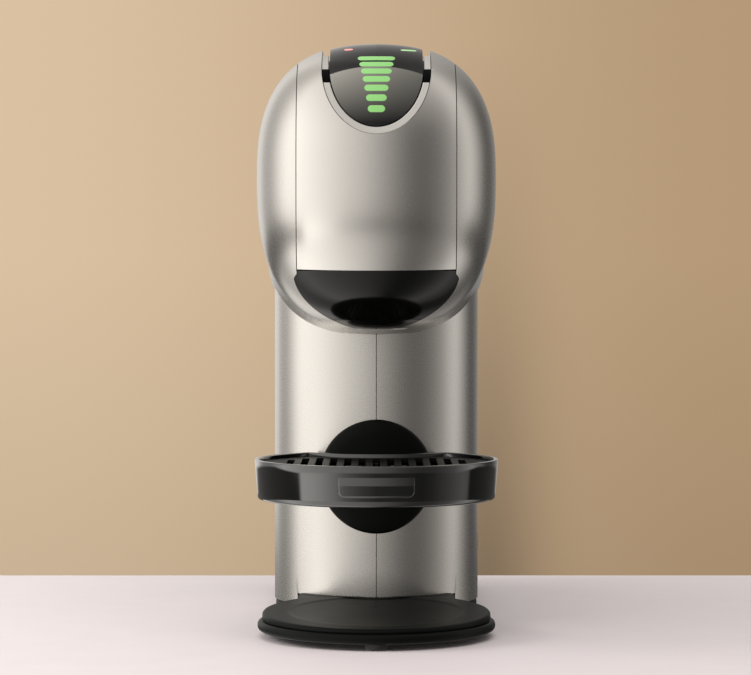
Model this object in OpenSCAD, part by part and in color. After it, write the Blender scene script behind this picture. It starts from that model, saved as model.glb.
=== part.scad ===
// Pod coffee machine with a lift-up locking handle, a pull-out capsule holder,
// a height-adjustable drip tray and a lift-off water tank. Millimetres, +Z up,
// front towards -Y, origin on the table below the middle of the machine.

/* [Overall] */
// Distance of the head, tray and base axis in front of the origin
axis_dist = 79; // [74:1:84]
// Distance from the origin to the flat front of the water tank
tank_front_y = 84.5; // [83.5:0.5:88]

/* [Head] */
// Half width of the egg-shaped head
head_r = 54.8; // [54:0.1:55.8]
// Height of the widest section of the head
head_mid_z = 210.5; // [209:0.5:212]
// Height of the head above its widest section
head_up = 61; // [61:0.5:64]
// Depth of the head below its widest section
head_down = 70; // [69:0.5:71]
// Superellipse power of the head's outline
head_power = 2.6; // [2.3:0.1:2.7]
// Radius of the arc along which the roof bends down to the rear
roof_bend_r = 409; // [380:1:450]
// Height at which the head's lower edge leaves the column's sides
under_z = 158; // [154:1:162]
// Angle at which that edge rises to the rear
under_rise = 24; // [20:1:28]
// Wall of the side shells and the roof cover
shell_wall = 2.2; // [1.8:0.1:2.5]

/* [Column] */
// Radius of the column's round front and half its width
column_r = 50; // [50:0.5:52]
// Distance of the column's axis behind the origin
column_axis_y = 10; // [8:1:12]
// Height of the base's top, on which the column stands
column_foot_z = 13; // [12.6:0.1:14]
// Rear end of the side shells
body_rear_y = 82; // [80:0.5:82.5]
// Width of the slot for the tray carrier
slot_w = 1.4; // [1.2:0.1:2]

/* [Locking handle] */
// Half the distance between the two seams beside the handle
seam_half = 35.7; // [35:0.1:36.5]
// Height of the handle's lower edge
handle_low_z = 168.4; // [167.5:0.1:170]
// Wall of the handle
handle_wall = 2.8; // [2.2:0.1:3]
// Distance of the handle's hinge axis in front of the origin
hinge_dist = 50; // [48:0.5:52]
// Height of the handle's hinge axis
hinge_z = 255; // [255:0.5:257]
// Radius of the handle's hinge barrels
barrel_r = 12.5; // [11:0.5:12.5]
// Radius of the hinge pins
pin_r = 2.5; // [2:0.1:3]

/* [Display tongue] */
// Half width of the display tongue
tongue_half = 20.8; // [19:0.1:21.5]
// Height of the lowest point of the tongue
tongue_low_z = 231.3; // [229:0.1:234]
// Height of the tongue's round end
tongue_round_h = 27; // [24:0.5:30]
// Width of the bevelled ring round the tongue
ring_w = 3.2; // [2.5:0.1:4]
// Thickness of the display lens
lens_t = 2.4; // [2:0.1:3]
// Number of light bars
bar_count = 7; // [5:1:7]
// Width of the lowest light bar
bar_w = 7.6; // [6:0.1:9]
// How much wider each light bar is than the one below it
bar_step = 1.5; // [1:0.1:1.8]
// Height of a light bar
bar_h = 3.2; // [2.6:0.1:3.6]

/* [Capsule holder] */
// Height of the holder's upper face
holder_top_z = 167.8; // [167:0.1:168]
// Radius of the capsule well
well_r = 17.5; // [16:0.5:18]
// Height of the well's floor
well_floor_z = 150; // [149:0.5:152]
// Distance of the well and the needle in front of the origin
well_dist = 84; // [83:0.5:86]
// Height of the head's flat underside
belly_z = 141; // [140.6:0.1:142]

/* [Drip tray] */
// Radius of the tray at its rim
tray_r = 56; // [55:0.5:56]
// How much narrower the tray is at its floor
tray_taper = 1.5; // [0.5:0.1:2]
// Height of the tray's underside
tray_z = 63.3; // [60:0.1:66]
// Height of the tray
tray_h = 18.4; // [16:0.1:22]
// Wall and floor of the tray
tray_wall = 2.2; // [1.8:0.1:2.8]
// Radius of the disc that carries the tray
disc_r = 27; // [25:0.5:29]
// Thickness of the disc
disc_t = 3; // [2.6:0.1:3.4]

/* [Base] */
// Radius of the lower tier's round front
base_r = 54.7; // [54:0.1:55.8]
// Half width of the collar that joins the round front to the column
collar_half = 37.6; // [34:0.1:39]
// Height of the rubber feet
foot_h = 3; // [2.5:0.1:4]
// Thickness of the lower tier
lower_tier_h = 4.5; // [4:0.1:5]
// How far the upper tier stands in from the lower one
tier_step = 2.2; // [1.5:0.1:3]

/* [Water tank] */
// Radius of the tank's round rear
tank_r = 50.5; // [49:0.5:50.5]
// Wall of the tank
tank_wall = 2.2; // [1.8:0.1:3]
// Height of the tank's open rim
tank_rim_z = 226; // [215:1:230]
// Height of the lid above the rim
lid_h = 6; // [5:0.5:8]

/* [Hidden] */
$fn = 96;
gap = 0.3;
axis_y = -axis_dist;
hinge_y = -hinge_dist;
well_y = -well_dist;
head_top_z = head_mid_z + head_up;
bend_z = head_top_z - roof_bend_r;
column_front_y = column_axis_y - column_r;
column_top_z = 196;
frame_inset = handle_wall + 2.2;
frame_wall = 2.4;
frame_low_z = handle_low_z + 4.1;
guide_t = 3.3;
chassis_y = column_front_y + 17;
chassis_t = 2.5;
chassis_half = 34;
base_low_z = foot_h;
base_mid_z = foot_h + lower_tier_h;
base_top_z = column_foot_z;
spigot_top_z = base_top_z + 9;
tank_low_z = base_top_z + 3.5;
valve_y = tank_front_y + 16;
// How far the tongue reaches back past the hinge
roof_lap = 9.5;
roof_front_y = hinge_y + roof_lap;
barrel_in = tongue_half + 3.9;
well_top_gap = 0.5;
// Angle through which the head is carried back along its bend, and a little more for cuts
head_reach = 36;
cut_reach = 38;
big = 400;
// Angle between the points of the egg outline
egg_step = 9;

// ---- shared shapes ----

// Half outline of the head, set in by inset, as points of half width and height
function egg_point(inset, a) =
    let (c = pow(max(0, cos(a)), 2 / head_power), s = pow(abs(sin(a)), 2 / head_power))
    [(head_r - inset) * c, head_mid_z + (a > 0 ? head_up - inset : inset - head_down) * s];
function egg_right(inset) = [for (a = [-90:egg_step:90]) egg_point(inset, a)];

// The head's whole section, for the part behind its axis
module egg_section(inset) {
    right = egg_right(inset);
    count = len(right);
    left = [for (i = [count - 2:-1:1]) [-right[i][0], right[i][1]]];
    polygon([for (p = concat(right, left)) [p[1] - bend_z, p[0]]]);
}

// The head as one closed form: a half turn of the egg in front, then the same
// section carried back along the roof's bend
module head_solid(inset = 0, reach = head_reach) {
    translate([0, axis_y, 0])
        rotate([0, 0, 180])
            rotate_extrude(angle = 180)
                polygon(egg_right(inset));
    difference() {
        translate([0, axis_y, bend_z])
            rotate([0, -90, 0])
                rotate_extrude(angle = reach, $fn = 240)
                    egg_section(inset);
        // behind, the head's lower edge rises along the column's sides
        translate([0, column_axis_y, under_z + inset / cos(under_rise)])
            rotate([under_rise, 0, 0])
                translate([-big, 0, -big])
                    cube([2 * big, 2 * big, big]);
    }
}

module slab_x(x0, x1, y0, y1, z0, z1) {
    translate([x0, y0, z0])
        cube([x1 - x0, y1 - y0, z1 - z0]);
}

module mirrored() {
    children();
    mirror([1, 0, 0])
        children();
}

// Plan of the column: a round front and straight sides
module column_plan(inset, rear) {
    translate([0, column_axis_y])
        circle(r = column_r - inset);
    translate([inset - column_r, column_axis_y])
        square([2 * (column_r - inset), rear - column_axis_y]);
}

module column_solid(inset, z0, z1, rear) {
    translate([0, 0, z0])
        linear_extrude(z1 - z0)
            column_plan(inset, rear);
}

// Outer or inner form of the whole body
module body_solid(inset, z0, rear, reach = head_reach) {
    intersection() {
        union() {
            head_solid(inset, reach);
            column_solid(inset, z0, column_top_z, rear);
        }
        slab_x(-big, big, -big, rear, 0, big);
    }
}

module body_skin() {
    difference() {
        body_solid(0, base_mid_z + gap, body_rear_y);
        body_solid(shell_wall, base_mid_z - 1, body_rear_y + 1, cut_reach);
    }
}

// A skin that follows the head between two depths
module head_skin(outer, inner) {
    difference() {
        head_solid(outer);
        head_solid(inner, cut_reach);
    }
}

// Front outline of the capsule holder, a half moon with a flat foot
function moon_half(z, grow) = (seam_half + 1.6 + grow)
    * pow(max(0, 1 - pow((holder_top_z - z) / (holder_top_z - belly_z + 0.7 + grow), 2)), 0.6);
module moon_prism(grow, z1) {
    steps = 14;
    z0 = belly_z - grow;
    side = [for (i = [0:steps]) let (z = z0 + (z1 - z0) * i / steps) [moon_half(z, grow), z]];
    other = [for (i = [steps:-1:0]) [-side[i][0], side[i][1]]];
    translate([0, axis_y, 0])
        rotate([90, 0, 0])
            linear_extrude(100)
                polygon(concat(side, other));
}

// Front outline of the tongue, straight at the top and half an ellipse below
module tongue_prism(grow) {
    steps = 24;
    half = tongue_half + grow;
    drop = tongue_round_h + grow;
    turn_z = tongue_low_z + tongue_round_h;
    low = [for (i = [0:steps])
        let (a = 180 * i / steps)
        [-half * cos(a), turn_z - drop * sin(a)]];
    translate([0, roof_front_y - gap, 0])
        rotate([90, 0, 0])
            linear_extrude(150)
                polygon(concat(low, [[half, 300], [-half, 300]]));
}

// Plan of the base: a disc in front, a straight web, the column's foot behind with rounded corners
base_corner_r = 26;
base_short = 1;
module base_plan(inset, back_half) {
    web = collar_half + tier_step - inset;
    corner = base_corner_r;
    rear = tank_front_y + tank_r - base_short - inset;
    translate([0, axis_y])
        circle(r = base_r - inset);
    translate([-web, axis_y])
        square([2 * web, column_axis_y - axis_y]);
    translate([0, column_axis_y])
        circle(r = back_half);
    translate([-back_half, column_axis_y])
        square([2 * back_half, rear - corner - column_axis_y]);
    translate([corner - back_half, rear - corner])
        square([2 * (back_half - corner), corner]);
    for (side = [-1, 1])
        translate([side * (back_half - corner), rear - corner])
            circle(r = corner);
}

// Plan of the tank: flat in front, half round behind
module tank_plan(inset) {
    intersection() {
        translate([0, tank_front_y])
            circle(r = tank_r - inset);
        translate([-big, tank_front_y + inset])
            square([2 * big, big]);
    }
}

module tank_form(inset, z0, z1) {
    translate([0, 0, z0])
        linear_extrude(z1 - z0)
            tank_plan(inset);
}

module rod_y(x, z, r, y0, y1) {
    translate([x, y0, z])
        rotate([-90, 0, 0])
            cylinder(r = r, h = y1 - y0, $fn = 40);
}

module rod_x(y, z, r, x0, x1) {
    translate([x0, y, z])
        rotate([0, 90, 0])
            cylinder(r = r, h = x1 - x0, $fn = 48);
}

module rod_z(x, y, r, z0, z1) {
    translate([x, y, z0])
        cylinder(r = r, h = z1 - z0, $fn = 48);
}

// ---- base ----

foot_r = 5;
foot_edge = foot_r + 1.6;
foot_places = [[0, axis_y - base_r + foot_edge], [-40, axis_y + 8], [40, axis_y + 8], [-38, 100],
    [38, 100]];
base_screw_places = [[-30, 20], [30, 20], [-30, 66], [30, 66]];
screw_r = 1.5;
screw_head_r = 3.3;
screw_head_h = 1.8;

module rubber_feet() {
    color("#1b1b1b")
        for (p = foot_places)
            rod_z(p[0], p[1], foot_r, 0, foot_h);
}

module base_plate() {
    chamfer = 1.6;
    back_half = column_r - 0.5;
    color("#202321")
        difference() {
            translate([0, 0, base_low_z])
                union() {
                    linear_extrude(lower_tier_h)
                        base_plan(chamfer, back_half - chamfer);
                    translate([0, 0, chamfer])
                        linear_extrude(lower_tier_h - 2 * chamfer)
                            base_plan(0, back_half);
                    translate([0, 0, chamfer / 2])
                        linear_extrude(lower_tier_h - chamfer)
                            base_plan(chamfer / 2.6, back_half - chamfer / 2.6);
                }
            for (p = base_screw_places) {
                rod_z(p[0], p[1], screw_head_r + gap, base_low_z - 1, base_low_z + screw_head_h + 0.2);
                rod_z(p[0], p[1], screw_r + 0.2, base_low_z, base_mid_z + 1);
            }
        }
}

module base_screws() {
    color("#9a9a98")
        for (p = base_screw_places) {
            rod_z(p[0], p[1], screw_head_r, base_low_z + 0.2, base_low_z + 0.2 + screw_head_h);
            rod_z(p[0], p[1], screw_r, base_low_z + 0.2 + screw_head_h, base_top_z - 1);
        }
}

dish_r = 40;
dish_depth = 1.2;
front_drop = 3.7;
module base_cover() {
    slope = atan(front_drop / (column_front_y - axis_y + base_r));
    dish_sphere_r = (dish_r * dish_r + dish_depth * dish_depth) / (2 * dish_depth);
    spigot = shell_wall + gap;
    spigot_wall = 2.4;
    color("#262a28")
        difference() {
            union() {
                translate([0, 0, base_mid_z])
                    linear_extrude(base_top_z - base_mid_z) {
                        base_plan(tier_step, column_r - spigot);
                        // full width behind the shells
                        intersection() {
                            base_plan(tier_step, column_r);
                            translate([-big, body_rear_y + gap])
                                square([2 * big, big]);
                        }
                    }
                translate([0, 0, base_top_z])
                    linear_extrude(spigot_top_z - base_top_z)
                        difference() {
                            column_plan(spigot, body_rear_y - 4);
                            column_plan(spigot + spigot_wall, body_rear_y - 4 - spigot_wall);
                        }
                tank_form(6, base_top_z, tank_low_z - gap);
            }
            // the top falls gently towards the front, with a shallow dish under the cup
            translate([0, column_front_y - 1, base_top_z])
                rotate([slope, 0, 0]) {
                    translate([-big / 2, -big, 0])
                        cube([big, big, 20]);
                    translate([0, axis_y - column_front_y, dish_sphere_r - dish_depth])
                        sphere(r = dish_sphere_r, $fn = 200);
                }
            // room for the tray carrier's slider at its lowest place
            slab_x(-9, 9, column_front_y - 2, chassis_y - 1, base_top_z, base_top_z + 12);
            for (p = base_screw_places)
                rod_z(p[0], p[1], screw_r, base_mid_z - 1, base_top_z - 1);
            rod_z(0, valve_y, socket_r, base_top_z - 1, tank_low_z + 1);
            // channel for the suction tube
            slab_x(-1.8, 1.8, body_rear_y - 8, valve_y, base_top_z, tank_low_z + 5);
        }
}

// ---- body shells ----

belly_half = 20.7;
board_x = shell_wall + 3.6 - column_r;
board_posts = [[6, 70], [6, 150], [62, 70], [62, 150]];
post_r = 3;
gland_y = 66;
gland_z = 30;

module right_shell_form() {
    clear = gap + 0.1;
    difference() {
        body_skin();
        // everything left of the slot
        slab_x(-big, slot_w / 2, -big, big, 0, big);
        // notch for the base's collar
        slab_x(-1, collar_half + gap, -big, column_axis_y - column_r / 2, 0, column_foot_z);
        // strip for the handle and the roof cover
        slab_x(-1, seam_half + clear, -big, big, handle_low_z - clear, big);
        // half moon for the capsule holder
        moon_prism(clear, handle_low_z);
        slab_x(-1, seam_half - 1, axis_y - 70, axis_y + 0.01, belly_z - 8, belly_z + 0.4);
        // underside between the holder and the column
        slab_x(-1, belly_half + gap, axis_y - 1, column_front_y - gap, belly_z - 8, belly_z + 9);
        // the column's front wall is open inside the head
        intersection() {
            column_solid(-0.1, belly_z + 6, column_top_z + 1, body_rear_y);
            slab_x(-1, seam_half, column_front_y - 1, chassis_y, 0, big);
        }
    }
}

module left_shell() {
    color("#c9c6c0") {
        mirror([1, 0, 0])
            right_shell_form();
        // posts for the control board, from the skin inwards
        intersection() {
            body_solid(shell_wall / 2, column_foot_z, body_rear_y);
            union()
                for (p = board_posts)
                    rod_x(p[0], p[1], post_r, -big, board_x);
        }
    }
}

module right_shell() {
    color("#c9c6c0")
        difference() {
            right_shell_form();
            rod_x(gland_y, gland_z, 5.2, column_r - 6, column_r + 1);
        }
}

roof_clear = 1.7;
module roof_cover() {
    color("#c4c1bb")
        difference() {
            intersection() {
                head_skin(0, shell_wall);
                slab_x(-seam_half, seam_half, hinge_y + 1, body_rear_y, head_mid_z, big);
            }
            // concave front edges round the handle's barrels
            rod_x(hinge_y, hinge_z, barrel_r + roof_clear, -big, big);
            slab_x(gap - barrel_in, barrel_in - gap, -big, roof_front_y, 0, big);
        }
}

module rear_panel() {
    edge = shell_wall + gap;
    color("#2a2c2b")
        difference() {
            intersection() {
                body_solid(edge, base_top_z, body_rear_y);
                slab_x(-big, big, body_rear_y - panel_t, body_rear_y, base_top_z, big);
            }
            for (p = panel_screw_places)
                rod_y(p[0], p[1], screw_r + 0.1, body_rear_y - 5, body_rear_y + 1);
            // notch for the suction tube
            slab_x(-2.2, 2.2, body_rear_y - 5, body_rear_y + 5, base_top_z - 1, base_top_z + 4);
        }
}

panel_t = 2.4;
panel_screw_places = [[-40, 40], [40, 40], [-40, 160], [40, 160]];
module panel_screws() {
    color("#8f8f8c")
        for (p = panel_screw_places) {
            rod_y(p[0], p[1], screw_head_r - gap, body_rear_y, body_rear_y + 1.5);
            rod_y(p[0], p[1], screw_r + 0.1, body_rear_y - 6, body_rear_y);
        }
}

module belly_cover() {
    color("#b9b6b0")
        intersection() {
            difference() {
                head_solid(0);
                head_solid(shell_wall, cut_reach);
            }
            slab_x(-belly_half, belly_half, axis_y + gap, column_front_y - 2 * gap, belly_z - 8,
                belly_z + 8);
        }
}

// ---- frame inside ----

module chassis() {
    color("#3a3d3c")
        difference() {
            union() {
                slab_x(-chassis_half, chassis_half, chassis_y, chassis_y + chassis_t, spigot_top_z,
                    frame_low_z + 60);
                // shelf that carries the pump's upper mount
                slab_x(-26, 26, chassis_y + chassis_t, pump_y + 16, pump_top_z + 4, pump_top_z + 6.5);
                // ribs that stiffen the shelf
                for (x = [-26, 23.6])
                    slab_x(x, x + 2.4, chassis_y + chassis_t, pump_y + 10, pump_top_z - 14,
                        pump_top_z + 4);
            }
            rod_z(0, pump_y, 9, pump_top_z, pump_top_z + 10);
        }
}

lug_in = tongue_half + 0.8;
lug_r = 6;
module brew_housing() {
    lug_out = lug_in + 2.6;
    color("#1d1f1e")
        difference() {
            union() {
                intersection() {
                    union() {
                        head_skin(frame_inset, frame_inset + frame_wall);
                        intersection() {
                            head_solid(frame_inset);
                            mirrored()
                                slab_x(chassis_half - frame_wall, chassis_half, -big, big, 0, big);
                        }
                    }
                    slab_x(-chassis_half, chassis_half, -big, chassis_y, frame_low_z, big);
                }
                // bridge that holds the guide rods
                slab_x(frame_wall - chassis_half, chassis_half - frame_wall, well_y - 9, well_y + 9,
                    rod_top_z - 4, rod_top_z);
                // lugs for the hinge pins
                mirrored()
                    union() {
                        rod_x(hinge_y, hinge_z, lug_r, lug_in, lug_out);
                        slab_x(lug_in, lug_out, hinge_y - lug_r, hinge_y + lug_r, hinge_z,
                            hinge_z + 7.5);
                    }
            }
            // room for the handle's barrels
            mirrored()
                rod_x(hinge_y, hinge_z, barrel_r + 0.7, lug_out + 0.01, chassis_half + 1);
            mirrored()
                rod_x(hinge_y, hinge_z, pin_r, lug_in - 1, lug_out + 1);
            mirrored()
                rod_z(rod_x0, well_y, rod_r, frame_low_z, rod_top_z + 1);
            rod_z(0, well_y, pipe_r, rod_top_z - 5, rod_top_z + 1);
        }
}

rod_x0 = 20;
rod_r = 2;
rod_top_z = frame_low_z + 58;
module guide_rods() {
    color("#b5b5b2")
        mirrored()
            rod_z(rod_x0, well_y, rod_r, frame_low_z, rod_top_z);
}

channel_x = 23;
rib_z = 157;
module drawer_guide() {
    color("#2b2e2d")
        difference() {
            union() {
                intersection() {
                    head_solid(frame_inset);
                    slab_x(-chassis_half, chassis_half, -big, chassis_y, frame_low_z - guide_t,
                        frame_low_z);
                }
                intersection() {
                    head_solid(frame_inset);
                    mirrored()
                        union() {
                            slab_x(channel_x, channel_x + 2.5, axis_y - 32, chassis_y, rib_z - 1.8,
                                frame_low_z);
                            slab_x(channel_x - 2.3, channel_x, axis_y - 32, chassis_y, rib_z - 1.8,
                                rib_z - gap);
                        }
                }
            }
            rod_z(0, well_y, 16.4, frame_low_z - guide_t - 1, frame_low_z + 1);
        }
}

module hinge_pins() {
    color("#a8a8a4")
        mirrored()
            rod_x(hinge_y, hinge_z, pin_r, lug_in, seam_half - 0.8);
}

// ---- display tongue ----

// The lens follows a smaller egg that is lifted, so that it lies deepest at its round end,
// where the handle's ring swings up past it
lens_inset = 1.6;
lens_lift = 1.3;
module lens_solid(depth, reach = head_reach) {
    translate([0, 0, lens_lift])
        head_solid(lens_inset + depth, reach);
}

module lens_skin(outer, inner) {
    difference() {
        lens_solid(outer);
        lens_solid(inner, cut_reach);
    }
}

module display_lens() {
    color("#17191b")
        difference() {
            intersection() {
                lens_skin(0, lens_t);
                tongue_prism(0);
                slab_x(-big, big, -big, roof_front_y - gap, 0, big);
            }
            light_bar_forms(-1);
            status_forms(-1);
        }
}

module display_board() {
    color("#1f5a38")
        intersection() {
            difference() {
                lens_solid(lens_t);
                head_solid(frame_inset, cut_reach);
            }
            tongue_prism(-1.5);
            slab_x(-big, big, -big, hinge_y - 16, 0, big);
        }
}

// Points down the middle of the lens, found from the egg's own angle
function crest_point(a) = [-axis_dist - (head_r - lens_inset) * pow(cos(a), 2 / head_power),
    head_mid_z + lens_lift + (head_up - lens_inset) * pow(sin(a), 2 / head_power)];
bar_first = 21.2;
bar_pitch = 5.5;
lamp_depth = 1;
module light_bar_forms(outer) {
    intersection() {
        lens_skin(outer, lamp_depth);
        for (i = [0:bar_count - 1]) {
            a = bar_first + bar_pitch * i;
            p = crest_point(a);
            q = crest_point(a + 1);
            tilt = atan2(q[1] - p[1], q[0] - p[0]);
            half = (bar_w + bar_step * i) / 2;
            translate([0, p[0], p[1]])
                rotate([tilt, 0, 0])
                    translate([-half, -bar_h / 2, -3])
                        cube([2 * half, bar_h, 6]);
        }
    }
}

module light_bars() {
    color("#8fd67a")
        light_bar_forms(0);
}

module status_forms(outer) {
    intersection() {
        lens_skin(outer, lamp_depth);
        union() {
            slab_x(-14.5, -10.5, axis_y - 24, axis_y - 20, head_mid_z, big);
            slab_x(11, 18, axis_y - 23, axis_y - 20, head_mid_z, big);
        }
    }
}

module status_lights() {
    color("#d86a5a")
        status_forms(0);
}

// ---- locking handle ----

ring_gap = 0.5;
liner_gap = 4.8;

module locking_handle() {
    half = seam_half - gap;
    color("#cfccc6")
        difference() {
            union() {
                intersection() {
                    head_skin(0, handle_wall);
                    slab_x(-half, half, -big, hinge_y, handle_low_z, big);
                }
                intersection() {
                    head_solid(0);
                    mirrored()
                        rod_x(hinge_y, hinge_z, barrel_r, barrel_in, half);
                }
            }
            tongue_prism(ring_w + ring_gap);
            mirrored()
                rod_x(hinge_y, hinge_z, pin_r + 0.08, barrel_in - 1, half + 1);
        }
}

// One step of the ring between two distances from the tongue's outline and two depths
module ring_step(near, far, outer, inner) {
    difference() {
        intersection() {
            head_skin(outer, inner);
            tongue_prism(far);
            slab_x(-big, big, -big, axis_y - 22, 0, big);
        }
        tongue_prism(near);
    }
}

// The ring steps down towards the lens, shallow enough to swing past it
module notch_ring() {
    middle = ring_gap + ring_w / 2;
    color("#e2e0dc")
        union() {
            ring_step(middle, ring_w + ring_gap, 0.3, 2);
            ring_step(ring_gap, middle + 0.1, 0.8, 1.3);
        }
}

module handle_liner() {
    half = seam_half - 2.4;
    color("#191a1a")
        difference() {
            intersection() {
                head_skin(handle_wall, frame_inset - 0.6);
                slab_x(-half, half, -big, axis_y - 10, handle_low_z + 1, big);
            }
            tongue_prism(ring_w + liner_gap);
        }
}

// ---- brewing parts ----

carriage_z = frame_low_z + 4;
carriage_h = 14;
plunger_r = 15;
seal_h = 2.2;
needle_r = 1.2;
module needle_carriage() {
    color("#d8d4c8")
        difference() {
            union() {
                slab_x(-25, 25, well_y - 8, well_y + 8, carriage_z, carriage_z + carriage_h);
                rod_z(0, well_y, plunger_r, holder_top_z + well_top_gap + seal_h, carriage_z + 4);
                rod_z(0, well_y, 7, carriage_z + carriage_h, hose_low_z);
            }
            mirrored()
                rod_z(rod_x0, well_y, rod_r + 0.2, carriage_z - 1, carriage_z + carriage_h + 1);
            rod_z(0, well_y, needle_r, 0, big);
        }
}

module needle() {
    tip_z = holder_top_z - 5;
    color("#c0c0c0")
        difference() {
            union() {
                rod_z(0, well_y, needle_r, tip_z + 2, hose_low_z);
                translate([0, well_y, tip_z])
                    cylinder(r1 = 0.2, r2 = needle_r, h = 2, $fn = 48);
            }
            rod_z(0, well_y, 0.5, tip_z + 2.5, hose_low_z + 1);
        }
}

module capsule_seal() {
    z0 = holder_top_z + well_top_gap;
    color("#8a3b2c")
        difference() {
            rod_z(0, well_y, plunger_r, z0, z0 + seal_h);
            rod_z(0, well_y, plunger_r - 3.5, z0 - 1, z0 + 3);
        }
}

hose_low_z = carriage_z + carriage_h + 6;
module brew_hose() {
    color("#d9d9d2")
        difference() {
            rod_z(0, well_y, 3.2, hose_low_z, rod_top_z - 4);
            rod_z(0, well_y, 1.8, hose_low_z - 1, rod_top_z + 1);
        }
}

module capsule_holder() {
    cup_r = well_r + 2.6;
    tail_y = chassis_y - 18;
    color("#141516")
        difference() {
            union() {
                // front cap, which carries on the head's own surface
                intersection() {
                    head_skin(0, 2.6);
                    moon_prism(-0.1, holder_top_z);
                    slab_x(-big, big, -big, axis_y - gap, belly_z, holder_top_z);
                }
                intersection() {
                    head_solid(1);
                    moon_prism(-0.1, holder_top_z);
                    union() {
                        rod_z(0, well_y, cup_r, belly_z, holder_top_z);
                        slab_x(-cup_r, cup_r, -big, well_y, rib_z, holder_top_z - 2);
                    }
                    slab_x(-big, big, -big, axis_y - gap, belly_z, holder_top_z);
                }
                intersection() {
                    head_solid(shell_wall + gap);
                    union() {
                        rod_z(0, well_y, cup_r, belly_z + 5, holder_top_z);
                        slab_x(-channel_x + gap, channel_x - gap, axis_y - 22, tail_y, rib_z,
                            rib_z + 4);
                    }
                }
            }
            rod_z(0, well_y, well_r, well_floor_z, holder_top_z + 1);
            rod_z(0, well_y, 4, belly_z - 1, well_floor_z + 1);
            // slot that lets the holder pass the lowered needle
            slab_x(-3, 3, well_y, tail_y + 1, holder_top_z - 7, holder_top_z + 1);
        }
}

// ---- drip tray ----

slider_h = 22;
slider_z = tray_z - 1;
disc_z = tray_z + tray_h / 2 - 2;
rail_half = 6;
module tray_rail() {
    color("#4a4d4c")
        mirrored()
            slab_x(rail_half, rail_half + 3, chassis_y - 12, chassis_y, base_top_z + 4, belly_z - 1);
}

module tray_carrier() {
    color("#1a1c1b")
        union() {
            intersection() {
                rod_y(0, disc_z, disc_r, -big, 0);
                difference() {
                    rod_z(0, column_axis_y, column_r + 0.4 + disc_t, 0, big);
                    rod_z(0, column_axis_y, column_r + 0.4, 0, big);
                }
            }
            slab_x(0.3 - slot_w / 2, slot_w / 2 - 0.3, column_front_y - 1, chassis_y - 6, slider_z,
                slider_z + slider_h);
            slab_x(gap - rail_half, rail_half - gap, chassis_y - 12, chassis_y - 4, slider_z,
                slider_z + slider_h);
            mirrored()
                slab_x(hook_x - 3, hook_x + 3, column_front_y - disc_t - 5, column_front_y - disc_t + 3,
                    tray_z + 2, tray_z + hook_h);
        }
}

hook_x = 12;
hook_h = 11;
module tray_cone(inset, z0, z1) {
    over = tray_taper / tray_h;
    translate([0, axis_y, tray_z - 1])
        intersection() {
            cylinder(r1 = tray_r - tray_taper - inset - over, r2 = tray_r - inset + over,
                h = tray_h + 2, $fn = 160);
            translate([-big, -big, z0 - tray_z + 1])
                cube([2 * big, 2 * big, z1 - z0]);
        }
}

module tray_back(grow) {
    rod_z(0, column_axis_y, column_r + disc_t + 0.8 + grow, tray_z - 1, tray_z + tray_h + 1);
}

module drip_tray() {
    rim_z = tray_z + tray_h;
    ledge_z = grid_z - gap;
    color("#141515")
        difference() {
            union() {
                difference() {
                    tray_cone(0, tray_z, rim_z);
                    difference() {
                        tray_cone(tray_wall, tray_z + tray_wall, rim_z + 1);
                        tray_back(tray_wall);
                    }
                }
                // ledge for the grid
                difference() {
                    tray_cone(1, ledge_z - 2, ledge_z);
                    difference() {
                        tray_cone(tray_wall + 1.6, tray_z, rim_z + 1);
                        tray_back(tray_wall + 1.6);
                    }
                }
                // blocks round the hooks
                mirrored()
                    slab_x(hook_x - 6, hook_x + 6, hook_front_y - 2.6, column_front_y, tray_z,
                        tray_z + hook_h + 2.4);
            }
            tray_back(0);
            mirrored()
                slab_x(hook_x - 3.4, hook_x + 3.4, hook_front_y - 0.4, column_front_y + 5, tray_z - 1,
                    tray_z + hook_h + 0.4);
            badge_form();
        }
}
hook_front_y = column_front_y - disc_t - 5;

grid_z = tray_z + tray_h - 4;
grid_edge = 12;
slot_pairs = 6;
slot_pitch = 6.6;
module drip_grid() {
    color("#2b2d2d")
        difference() {
            tray_cone(tray_wall + 0.4, grid_z, grid_z + 2);
            tray_back(tray_wall + 0.4);
            for (i = [-slot_pairs:slot_pairs]) {
                x = slot_pitch * i;
                half = sqrt(pow(tray_r - grid_edge, 2) - x * x);
                rear = column_axis_y - sqrt(pow(column_r + grid_edge, 2) - x * x) - axis_y;
                slab_x(x - 1.7, x + 1.7, axis_y - half, axis_y + min(half, rear), grid_z - 1, grid_z + 3);
            }
        }
}

badge_half = 17;
module badge_form() {
    intersection() {
        difference() {
            tray_cone(0, tray_z + 4.3, tray_z + 13.5);
            tray_cone(0.8, tray_z, tray_z + tray_h);
        }
        slab_x(-badge_half, badge_half, -big, axis_y, 0, big);
    }
}

module badge() {
    color("#1e1f20")
        badge_form();
}

// ---- water path ----

pump_y = 8;
pump_top_z = 104;
pump_tube_r = 8;
coil_half = 18;
outlet_r = 5.5;
hose_r = 3;
module pump() {
    color("#8d6b45")
        union() {
            difference() {
                rod_z(0, pump_y, pump_tube_r, base_top_z + 7, pump_top_z);
                rod_y(0, meter_out_z, hose_r, pump_y + pump_tube_r - 0.5, meter_y);
            }
            slab_x(-coil_half, coil_half, pump_y - coil_half, pump_y + coil_half, 46, pump_top_z - 12);
            rod_z(0, pump_y, outlet_r, pump_top_z, pump_top_z + 14);
        }
}

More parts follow.
